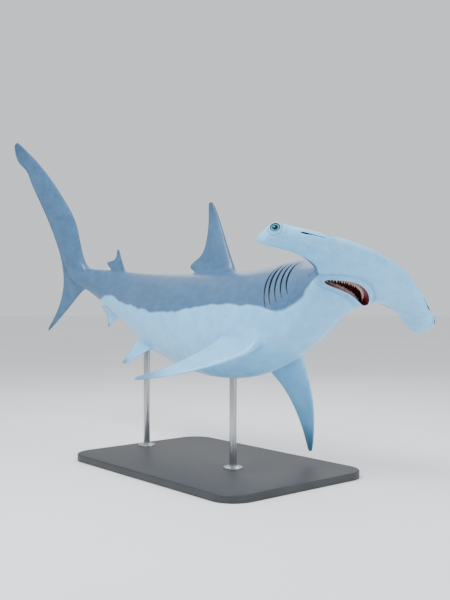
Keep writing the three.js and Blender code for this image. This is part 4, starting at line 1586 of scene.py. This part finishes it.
@dataclass
class Nostrils(Form):
    """A slit in the front edge beside each eye, with the groove that leads inward from it."""

    path: tuple = ((214, 0.4), (232, 1.0), (262, 1.4), (300, 1.6), (318, 2.0), (326, 3.4), (342, 4.0),
                   (350, 2.8), (355, 0.8))  # how far out, and the radius there
    under: float = -10
    deep: float = 2  # how far behind the front edge its middle is, and by which share of the radius more
    deeper: float = 0.5
    long: float = 1.9  # its radius from front to rear, as a share of its radius up and down
    fine: tuple = (208, 366, 20, 17)  # it is finer from and to how far out, how far back, and up and down

    def around(self, at: Places, margin: float) -> ndarray:
        """Along the front edge.

        Args:
            at: Points of the skin.
            margin: How far inside the finer part's border.

        Returns:
            Whether each point lies there.
        """
        inner, outer, back, high = self.fine
        found = (at.side > inner) & (at.side < outer) & (at.s < HAMMER.front_at(at.side) + back - margin)
        return found & (np.abs(at.z - self.under) < high - margin)

    def cutters(self) -> list[Object]:
        """The slit and groove of each side as one tapered tube.

        Returns:
            The solids to cut with.
        """
        made = []
        for side in Side:
            rings = []
            for y, radius in self.path:
                s = float(HAMMER.front_at(y)) + self.deep + self.deeper * radius
                rings.append(SPINE.place(s, side.sign * y, self.under)
                             + circle(HEAD_FORWARD * radius * self.long, HEAD_UP * radius, 12))
            made.append(loft(f"nostril_{side.word}", rings))
        return made


@dataclass
class Pit(Form):
    """The notch on top of the tail's root."""

    station: float = 2236
    depth: float = 3.5
    length: float = 11
    width: float = 20
    top: float = 90
    fine: tuple = (48, 44, 110)  # how far to front and rear, how far out and how high up the skin is finer

    def around(self, at: Places, margin: float) -> ndarray:
        """Over the tail's root.

        Args:
            at: Points of the skin.
            margin: How far inside the finer part's border.

        Returns:
            Whether each point lies there.
        """
        back, out, high = self.fine
        return ((np.abs(at.s - self.station) < back - margin) & (at.side < out - margin)
                & (at.z > 0) & (at.z < high))

    def lift(self, at: Places) -> ndarray:
        """A soft dent."""
        dent = bump(at.s, self.station, self.length) * bump(at.y, 0, self.width)
        return -self.depth * dent * (at.z > 0) * (at.z < self.top)


class Skin:
    """The one skin over all the flesh, with its forms and markings."""

    NODES = (
        "first_dorsal_fin", "second_dorsal_fin", "anal_fin", "pectoral_fin_left", "pectoral_fin_right",
        "pelvic_fin_left", "pelvic_fin_right", "head", "hammer_left", "hammer_right", "neck", "chest",
        "trunk_front", "trunk_rear", "tail_stalk", "caudal_upper_lobe", "caudal_lower_lobe",
    )
    LEVELS = 2
    FRONT = (720, 480)  # the station that the finer front part ends at, and how far out it reaches
    INNER = 8  # how far inside the border of the fine forms the skin is finer still
    WELD = 0.4  # points of the cut skin that are closer than this become one
    EASING = 4  # how often the cut edges are evened
    HOLLOW = 28  # a fold this many millimetres round, or tighter, gets the full painted shade
    SPREAD = 3  # how often that is spread to the points beside
    GIRTH = (60, 260)  # the least and greatest radius that angles are turned to widths by
    # The line between slate and pale: station, and degrees down from the back
    EDGE = ((200, 92), (300, 100), (370, 121), (432, 131), (499, 129), (593, 117), (723, 100), (856, 88),
            (966, 83), (1075, 83), (1250, 87), (1450, 87), (1606, 86), (1778, 88), (1933, 94), (2040, 130),
            (2110, 184))
    EDGE_WIDTH = 60
    BLADE_EDGE = (14, 52)  # its height on the hammer, and how much lower it is by the neck
    TIP_DUSK = (0.6, 0.2)  # how dusky a fin's tip is, and for which share of its reach it is fully so
    MARGIN_DUSK = (0.3, 20, 3)  # how dusky a fin's rear edge is, how wide, and for how much of that fully so
    PORES = (340, 290, 12, -14)  # from no pores to all: stations, and heights
    # The lateral line: station, and degrees down from the back
    LATERAL = ((440, 46), (700, 56), (1300, 66), (1900, 80), (2230, 90))
    LATERAL_REACH = (430, 2235, 340)  # its first and last station, and how far from the axis it is looked for
    LATERAL_WIDTH = 40  # how far from it the attribute `flank` is 1

    def __init__(self, *forms: Form) -> None:
        """Takes the fine forms of the skin."""
        self.forms = forms

    def build(self, *materials: Material) -> None:
        """Models the skin and dresses it in skin, mouth lining and gill lining, the last a near-black painted
        shadow in the slits, sockets and nostrils.

        Args:
            materials: The three, in the order of the skin's slots.
        """
        cage = BodyCage()
        self.tips, self.margin = cage.tips, np.vstack(cage.margins)
        obj = mesh_object("shark_skin", np.array(cage.points), cage.faces)
        with editing(obj):
            bpy.ops.mesh.delete_loose()
        apply_modifier(obj, "SUBSURF", levels=self.LEVELS, render_levels=self.LEVELS)
        for zone in (self.front, self.fine, partial(self.fine, margin=self.INNER)):
            self.refine(obj, zone)
        self.swell(obj)
        for material in materials:
            obj.data.materials.append(material)
        self.cut(obj)
        self.soften(obj)
        self.mark(obj)
        finish_piece(obj, "slate_skin", list(self.NODES), smooth=60)

    def front(self, at: Places) -> ndarray:
        """Whether each point lies on the head or the neck."""
        return (at.s < self.FRONT[0]) & (at.side < self.FRONT[1])

    def fine(self, at: Places, margin: float = 0) -> ndarray:
        """Whether each point lies by a fine form, by some millimetres from the border of where it is."""
        return np.any([form.around(at, margin) for form in self.forms], axis=0)

    def refine(self, obj: Object, zone: Callable[[Places], ndarray]) -> None:
        """Splits the faces whose middles lie in a zone.

        Args:
            obj: The skin.
            zone: Tells whether each of some points lies in it.
        """
        chosen = zone(Places(vectors(obj.data.polygons, "center") / MM))
        with editing(obj, "DESELECT", "FACE"):
            mesh = bmesh.from_edit_mesh(obj.data)
            mesh.faces.ensure_lookup_table()
            for number in np.flatnonzero(chosen):
                mesh.faces[number].select_set(True)
            bmesh.update_edit_mesh(obj.data)
            bpy.ops.mesh.subdivide(number_cuts=1, smoothness=1.0)

    def swell(self, obj: Object) -> None:
        """Raises and shapes the skin by its forms.

        Args:
            obj: The skin.
        """
        at = Places(coordinates(obj))
        lift = np.sum([form.lift(at) for form in self.forms], axis=0)
        points = at.points + vectors(obj.data.vertices, "normal") * lift[:, None]
        for form in self.forms:
            points = form.shape(points)
        set_coordinates(obj, points)

    def cut(self, obj: Object) -> None:
        """Cuts the mouth, sockets, gill slits and nostrils out of the skin.

        Args:
            obj: The skin.
        """
        cutters = []
        for form in self.forms:
            for cutter in form.cutters():
                for material in obj.data.materials:
                    cutter.data.materials.append(material)
                faces = cutter.data.polygons
                faces.foreach_set("material_index", np.full(len(faces), form.lining))
                cutters.append(cutter)
        tool = join("cutters", cutters)
        apply_modifier(obj, "BOOLEAN", operation="DIFFERENCE", object=tool, solver="MANIFOLD",
                       material_mode="INDEX")
        bpy.data.objects.remove(tool)

    def soften(self, obj: Object) -> None:
        """Evens the cut edges along their own lines, and the skin just outside them.

        Args:
            obj: The skin.
        """
        mesh = bmesh.new()
        mesh.from_mesh(obj.data)
        bmesh.ops.remove_doubles(mesh, verts=mesh.verts, dist=self.WELD * MM)
        bmesh.ops.triangulate(mesh, faces=[face for face in mesh.faces if len(face.verts) > 4])
        beside: dict[bmesh.types.BMVert, list[bmesh.types.BMVert]] = {}
        for edge in mesh.edges:
            if len({face.material_index for face in edge.link_faces}) > 1:
                for vert in edge.verts:
                    beside.setdefault(vert, []).append(edge.other_vert(vert))
        rim = set(beside)
        for vert in {edge.other_vert(vert) for vert in rim for edge in vert.link_edges} - rim:
            if not any(face.material_index for face in vert.link_faces):
                beside[vert] = [edge.other_vert(vert) for edge in vert.link_edges]
        for _ in range(self.EASING):
            middles = {vert: sum((other.co for other in others), Vector()) / len(others)
                       for vert, others in beside.items()}
            for vert, middle in middles.items():
                vert.co = vert.co.lerp(middle, 0.5)
        mesh.to_mesh(obj.data)
        mesh.free()

    def crease_shade_amounts(self, obj: Object) -> ndarray:
        """Measures how hollow the skin is, which sets how much painted shade each point gets, with the cut
        edges and linings left out.

        Args:
            obj: The skin.

        Returns:
            A number from 0 to 1 for each point.
        """
        points, normals = coordinates(obj), vectors(obj.data.vertices, "normal")
        ends = np.zeros(len(obj.data.edges) * 2, np.int32)
        obj.data.edges.foreach_get("vertices", ends)
        a, b = ends.reshape(-1, 2).T
        a, b = np.concatenate([a, b]), np.concatenate([b, a])
        count = np.bincount(a, minlength=len(points))
        step = points[b] - points[a]
        bend = (step * normals[a]).sum(1) / np.maximum((step ** 2).sum(1), 0.01)
        crease_shade_amount = np.bincount(a, bend, len(points)) / count
        crease_shade_amount[[v for face in obj.data.polygons if face.material_index for v in face.vertices]] = 0
        crease_shade_amount = np.clip(crease_shade_amount * self.HOLLOW, 0, 1)
        for _ in range(self.SPREAD):
            crease_shade_amount = 0.5 * crease_shade_amount + 0.5 * np.bincount(a, crease_shade_amount[b], len(points)) / count
        return crease_shade_amount

    def pale(self, at: Places, girth: ndarray) -> ndarray:
        """Works out the countershading.

        Args:
            at: Points of the skin.
            girth: How far each is taken to be from the axis.

        Returns:
            From 0 where a point is well on the slate side of the line to 1 where it is well on the pale side.
        """
        below = np.radians(at.degrees - Curve.through(self.EDGE)(at.s)) * girth
        height, drop = self.BLADE_EDGE
        line = height - drop * smooth_step(190, 262, at.s) * smooth_step(300, 190, at.side)
        on_blade = smooth_step(330, 262, at.s)
        return np.clip(0.5 + (below * (1 - on_blade) + (line - at.z) * on_blade) / self.EDGE_WIDTH, 0, 1)

    def dusk(self, points: ndarray) -> ndarray:
        """Works out the dusky tips and rear edges of the fins.

        Args:
            points: Points of the skin, in millimetres.

        Returns:
            How dusky each is, from 0 to 1.
        """
        depth, full = self.TIP_DUSK
        tips = [smooth_step(reach, full * reach, np.linalg.norm(points - tip, axis=1))
                for tip, reach in self.tips]
        tree = KDTree(len(self.margin))
        for number, point in enumerate(self.margin):
            tree.insert(point, number)
        tree.balance()
        faint, width, solid_width = self.MARGIN_DUSK
        rear = smooth_step(width, solid_width, np.array([tree.find(point)[2] for point in points]))
        return np.maximum(depth * np.max(tips, axis=0), faint * rear)

    def mark(self, obj: Object) -> None:
        """Gives each point its part in the markings and in the painted shade of its hollows.

        Args:
            obj: The skin.
        """
        at = Places(coordinates(obj))
        far = np.hypot(at.y, at.z)
        girth = np.clip(far, *self.GIRTH)
        set_attribute(obj, "pale", self.pale(at, girth))
        set_attribute(obj, "dusk", self.dusk(at.points))
        # Painted shade in the hollows and creases, from how hollow the skin is
        set_attribute(obj, "crease_shade_amount", self.crease_shade_amounts(obj))
        back, ahead, over, under = self.PORES
        set_attribute(obj, "pores", smooth_step(back, ahead, at.s) * smooth_step(over, under, at.z))
        first, last, reach = self.LATERAL_REACH
        away = np.radians(at.degrees - Curve.through(self.LATERAL)(at.s)) * girth / self.LATERAL_WIDTH
        near = (at.s > first) & (at.s < last) & (far < reach)
        set_attribute(obj, "flank", np.where(near, np.clip(away, -1, 1), 1.0))


# The mouth's inside


@dataclass
class Jaws:
    """Gums along the lips, each with its row of blade-like teeth."""

    radius: float = 7.5
    reach: float = 0.86
    inset: float = 3
    along: tuple[float, float] = (25, 33)
    gape: float = 27  # where the mouth is less open than this, gums and teeth get smaller
    steps: int = 48
    sides: int = 16
    taper: tuple = (0.35, 0.3)  # a gum's size at its end, and what each step adds
    wave: tuple = (0.05, 2.1)  # how uneven a gum is, and how fast that changes
    teeth: int = 24
    tooth: float = 22
    tooth_width: float = 9.4
    tooth_thick: float = 2.4
    tooth_levels: int = 7
    tooth_sides: int = 10
    blunt: float = 0.12  # half the width and thickness of a point
    outward: float = 0.78  # a tooth points this much out of the mouth and that much to the other jaw
    onward: float = 0.62
    slant: float = 2.6  # how far a tooth's point leans to the mouth's corner
    curl: float = 1.6  # how far it curves in
    flat: float = 0.6  # how thick the inner face is, as a share of the outer
    unlike: float = 0.1  # how much the teeth differ in size

    def build(self, mouth: Mouth, gum: Material, enamel: Material) -> None:
        """Models and dresses both jaws.

        Args:
            mouth: The mouth that they are in.
            gum: What the gums are dressed in.
            enamel: What the teeth are dressed in.
        """
        for name, lip, side in (("upper", 0, 1), ("lower", 1, -1)):
            path, sizes = [], []
            for i in range(self.steps + 1):
                lips = mouth.lips(self.reach * (2 * i / self.steps - 1))
                path.append(mouth.moved(lips[lip], self.along[lip], self.inset * side))
                sizes.append(min(1, float((lips[1] - lips[0]) @ mouth.across) / self.gape))
            finish_piece(self.one_gum(f"gum_{name}", path, sizes), "tongue", [f"{name}_jaw"], gum)
            teeth = [self.one_tooth(f"tooth_{name}_{k}", mouth, path, sizes, k, side)
                     for k in range(self.teeth)]
            finish_piece(join(f"teeth_{name}", teeth), "teeth", [f"{name}_jaw"], enamel, smooth=50)

    def one_gum(self, name: str, path: list[ndarray], sizes: list[float]) -> Object:
        """Models a gum: a soft, slightly uneven roll.

        Args:
            name: The piece's name.
            path: The points along its middle.
            sizes: Its size at each.

        Returns:
            The gum.
        """
        rings = []
        for i, (point, size) in enumerate(zip(path, sizes)):
            run = unit(path[min(i + 1, self.steps)] - path[max(i - 1, 0)])
            aside = unit(np.cross(run, HEAD_UP))
            taper = min(1, self.taper[0] + self.taper[1] * min(i, self.steps - i))
            wave = 1 + self.wave[0] * math.sin(i * self.wave[1])
            ring = circle(aside, np.cross(aside, run), self.sides)
            rings.append(point + ring * self.radius * size * taper * wave)
        return loft(name, rings)

    def one_tooth(self, name: str, mouth: Mouth, path: list[ndarray], sizes: list[float], k: int,
                  side: int) -> Object:
        """Models a tooth: a broad, slanting blade that curves in to its point.

        Args:
            name: Its name.
            mouth: The mouth that it is in.
            path: The points along its gum's middle.
            sizes: The gum's size at each.
            k: Its number in the row.
            side: 1 where it points down from the upper jaw, else -1.

        Returns:
            The tooth.
        """
        t = (k + 0.5) / self.teeth * self.steps
        i = min(int(t), self.steps - 1)
        root = between(path[i], path[i + 1], t - i)
        scale = between(sizes[i], sizes[i + 1], t - i) * (1 + self.unlike * math.sin(k * 2.4 + side))
        run = unit(path[i + 1] - path[i])
        point = unit(mouth.inward * -self.outward + mouth.across * self.onward * side)
        thick = unit(np.cross(point, run))
        slant = self.slant if k >= self.teeth / 2 else -self.slant
        rings, crown = [], []
        for level in range(self.tooth_levels + 1):
            h = level / self.tooth_levels
            half = self.tooth_width / 2 * (1 - h) ** 0.8 * 1.05 + self.blunt
            fat = self.tooth_thick * (1 - h) ** 0.7 + self.blunt
            middle = run * slant * h ** 1.3 - thick * self.curl * h * h + point * between(1, self.tooth, h)
            ring = circle(np.array([half, 0]), np.array([0, fat]), self.tooth_sides)
            ring[:, 1] *= np.where(ring[:, 1] < 0, self.flat, 1)
            rings.append(root + scale * (middle + ring @ np.array([run, thick])))
            crown += [h] * self.tooth_sides
        obj = loft(name, rings)
        set_attribute(obj, "crown", np.array([*crown, 0, 1.0]))
        return obj


@dataclass
class Tongue:
    """A short, thick tongue that is fixed to the floor of the mouth."""

    along: float = 70
    lift: float = 4
    length: float = 46
    width: float = 92
    height: float = 12
    groove: float = 0.22  # depth of the groove down its middle, as a share of its height
    ripple: float = 0.9
    ripple_size: float = 9

    def build(self, mouth: Mouth, flesh: Material) -> None:
        """Models and dresses the tongue.

        Args:
            mouth: The mouth that it is in.
            flesh: What it is dressed in.
        """
        obj = primitive("tongue_flesh", bpy.ops.mesh.primitive_uv_sphere_add, segments=56, ring_count=36,
                        radius=MM)
        x, y, z = coordinates(obj).T
        z = z + self.groove * bump(y, 0, 0.16) * smooth_step(0.1, -0.6, z)
        body = np.stack([x * self.length / 2, y * self.width / 2, z * self.height], 1)
        body[:, 2] += self.ripple * np.array([noise.noise(Vector(p / self.ripple_size)) for p in body])
        center = mouth.moved(mouth.lips(0)[1], self.along, -self.lift)
        set_coordinates(obj, body @ np.array([mouth.inward, HEAD_LEFT, mouth.across]) + center)
        finish_piece(obj, "tongue", ["tongue"], flesh)


# The stand and the studio


@dataclass
class Stand:
    """The display stand: a flat plate, two rods and a collar at the foot of each."""

    length: float = 1300
    width: float = 860
    height: float = 36
    corner: float = 120
    bevel: float = 6
    foot_bevel: float = 1.5
    rod_radius: float = 17
    rod_bevel: float = 1.2
    collar_radius: float = 46
    collar_height: float = 12
    play: float = 0.3  # the gap between a collar and what it touches
    sides: int = 72
    screws: int = 4
    screw_circle: float = 33
    # A button head with a round recess: heights over the collar's foot and radii, from its seat inward
    screw: tuple = ((6.6, 4.8), (8.8, 4.8), (10.2, 4.2), (11.0, 3.0), (11.0, 2.2), (9.4, 2.0))
    smooth: float = 35

    def build(self, lacquer: Material, steel: Material) -> None:
        """Models and dresses the plate, the rods and the collars.

        Args:
            lacquer: What the plate is dressed in.
            steel: What the rods and collars are dressed in.
        """
        self.plate(lacquer)
        for word in ("front", "rear"):
            low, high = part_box(f"stand_rod_{word}")
            self.rod(word, low, high, steel)
            self.collar(word, (low + high) / 2, steel)

    def plate(self, lacquer: Material) -> None:
        """The plate with round corners and an eased top edge.

        Args:
            lacquer: What it is dressed in.
        """
        top = self.height * MM
        obj = primitive("stand_base_plate", bpy.ops.mesh.primitive_cube_add, size=1, location=(0, 0, top / 2))
        obj.scale = (self.length * MM, self.width * MM, top)
        bpy.ops.object.transform_apply(location=True, rotation=True, scale=True)
        self.bevel_edges(obj, lambda a, b: abs(a.z - b.z) > top / 2, self.corner, 16)
        self.bevel_edges(obj, lambda a, b: min(a.z, b.z) > top - 1e-5, self.bevel, 5)
        self.bevel_edges(obj, lambda a, b: max(a.z, b.z) < 1e-5, self.foot_bevel, 2)
        finish_piece(obj, "stand_plate", ["stand_base"], lacquer, smooth=self.smooth)

    def bevel_edges(self, obj: Object, chosen: Callable[[Vector, Vector], bool], width: float,
                    segments: int) -> None:
        """Bevels some of an object's sharp edges.

        Args:
            obj: The object.
            chosen: Tells from its two ends whether an edge is one of them.
            width: The bevel's width in millimetres.
            segments: The bevel's steps.
        """
        with editing(obj, "DESELECT", "EDGE"):
            mesh = bmesh.from_edit_mesh(obj.data)
            for edge in mesh.edges:
                sharp = len(edge.link_faces) == 2 and edge.calc_face_angle(0) > 0.3
                edge.select_set(sharp and chosen(edge.verts[0].co, edge.verts[1].co))
            bmesh.update_edit_mesh(obj.data)
            bpy.ops.mesh.bevel(offset=width * MM, segments=segments, profile=0.5, affect="EDGES")

    def rod(self, word: str, low: Vector, high: Vector, steel: Material) -> None:
        """Models one upright rod.

        Args:
            word: Which rod it is.
            low: The lower corner of its CAD node's box.
            high: The upper corner.
            steel: What it is dressed in.
        """
        obj = primitive(f"stand_rod_{word}_tube", bpy.ops.mesh.primitive_cylinder_add, vertices=64,
                        radius=self.rod_radius * MM, depth=high.z - low.z, location=(low + high) / 2)
        bpy.ops.object.transform_apply(location=True, rotation=True, scale=True)
        self.bevel_edges(obj, lambda a, b: abs(a.z - b.z) < 1e-5, self.rod_bevel, 3)
        finish_piece(obj, "stand_rod", [f"stand_rod_{word}"], steel, smooth=self.smooth)

    def collar(self, word: str, middle: Vector, steel: Material) -> None:
        """Models the turned collar that holds a rod to the plate, with its screws.

        Args:
            word: Which rod's collar it is.
            middle: The rod's middle.
            steel: What it is dressed in.
        """
        axes = np.eye(3)
        center = np.array([middle.x / MM, middle.y / MM, self.height + self.play])
        bore, r, h = self.rod_radius + self.play, self.collar_radius, self.collar_height - self.play
        outline = ((0, bore), (0, r), (h * 0.35, r), (h * 0.5, r - 0.8), (h * 0.62, r - 5),
                   (h * 0.72, bore + 8), (h * 0.9, bore + 5), (h, bore + 3.6), (h, bore))
        around = circle(axes[0], axes[1], self.sides)
        points = np.vstack([center + axes[2] * at + around * radius for at, radius in outline])
        ring = solid(f"stand_collar_{word}_ring", points, bands(len(outline), self.sides, closed=True))
        screws = []
        for k in range(self.screws):
            angle = (k + 0.5) / self.screws * 2 * math.pi
            seat = center + (axes[0] * math.cos(angle) + axes[1] * math.sin(angle)) * self.screw_circle
            screws.append(revolve(f"screw_{word}_{k}", self.screw, seat, axes, 24))
        obj = join(f"stand_collar_{word}_flange", [ring, *screws])
        finish_piece(obj, "stand_plate", [f"stand_collar_{word}"], steel, smooth=self.smooth)


@dataclass
class Studio:
    """The floor, the lights and the camera, in metres."""

    azimuth: float = 50  # degrees, the way of the photograph
    distance: float = 4.0
    sensor: float = 36
    focal_px: float = 820.3
    frame_px: float = 600
    aim: tuple[float, float] = (0.012, 0.08)  # how far right of the anchor and over it the camera looks
    floor_radius: float = 40
    air: str = "#eceff2"
    # Each light: its name, how far right of the target, nearer than it and over it, its watts and its size
    lights: tuple = (
        ("key", -1.8, 2.2, 3.2, 200, 1.6),
        ("fill", 3.0, 1.6, 1.0, 50, 2.5),
        ("rim", 0.4, -2.8, 2.6, 55, 3.0),
        ("top", 0, 0, 3.4, 34, 3.0),
    )

    def build(self, paint: Material) -> None:
        """Makes the floor, lights and camera.

        Args:
            paint: What the floor is dressed in.
        """
        floor = primitive("studio_floor", bpy.ops.mesh.primitive_circle_add, vertices=96,
                          radius=self.floor_radius, fill_type="NGON")
        floor.data.materials.append(paint)
        world = bpy.data.worlds.new("studio_air")
        world.use_nodes = True
        background = world.node_tree.nodes["Background"]
        background.inputs["Color"].default_value = linear(self.air)
        background.inputs["Strength"].default_value = 1.0
        bpy.context.scene.world = world
        turn = math.radians(self.azimuth)
        right = Vector((math.cos(turn), math.sin(turn), 0))
        back = Vector((math.sin(turn), -math.cos(turn), 0))
        up = Vector((0, 0, 1))
        target = Vector(SPINE.anchor) * MM + right * self.aim[0] + up * self.aim[1]
        for name, aside, near, over, power, size in self.lights:
            data = bpy.data.lights.new(name, "AREA")
            data.energy, data.size = power, size
            self.place(name, data, target, right * aside + back * near + up * over)
        data = bpy.data.cameras.new("camera")
        data.sensor_width = self.sensor
        data.lens = self.sensor * self.focal_px / self.frame_px
        bpy.context.scene.camera = self.place("camera", data, target, back * self.distance)

    def place(self, name: str, data: bpy.types.ID, target: Vector, offset: Vector) -> Object:
        """Puts a light or the camera somewhere and turns it to the target.

        Args:
            name: The object's name.
            data: The light or the camera.
            target: What it looks at.
            offset: How far from the target it is.

        Returns:
            The new object.
        """
        obj = bpy.data.objects.new(name, data)
        obj.location = target + offset
        obj.rotation_euler = (-offset).to_track_quat("-Z", "Y").to_euler()
        bpy.context.scene.collection.objects.link(obj)
        return obj


def main() -> None:
    """Builds every piece in order and reports it."""
    logging.basicConfig(level=logging.INFO, format="%(message)s")
    Studio().build(StudioFloor().build())
    mouth = Mouth()
    eyes = [Eye(side) for side in Side]
    lining = WetFlesh("mouth_lining_wet_flesh", "#3c0a10", "#8c2b33", fold_mm=12, relief_mm=3)
    # Near-black and dull: a painted shadow that lines the gill slits, eye sockets and nostrils
    painted_slit_shadow = WetFlesh("gill_lining_painted_shadow", "#0b1218", "#18232c", fold_mm=10, relief_mm=0.6, glow=0, film=0,
                     shine=0.08)
    skin = Skin(mouth, *eyes, Gills(), Nostrils(), Pit())
    skin.build(SharkSkin().build(), lining.build(), painted_slit_shadow.build())
    eye_surface = EyeSurface().build()
    for eye in eyes:
        eye.build(eye_surface)
    Jaws().build(mouth, WetFlesh("gum_wet_flesh", "#9c565b", "#c99090").build(), Enamel().build())
    Tongue().build(mouth, WetFlesh("tongue_wet_flesh", "#b05f69", "#dd98a0").build())
    Stand().build(Lacquer().build(), Steel().build())


if __name__ == "__main__":
    main()
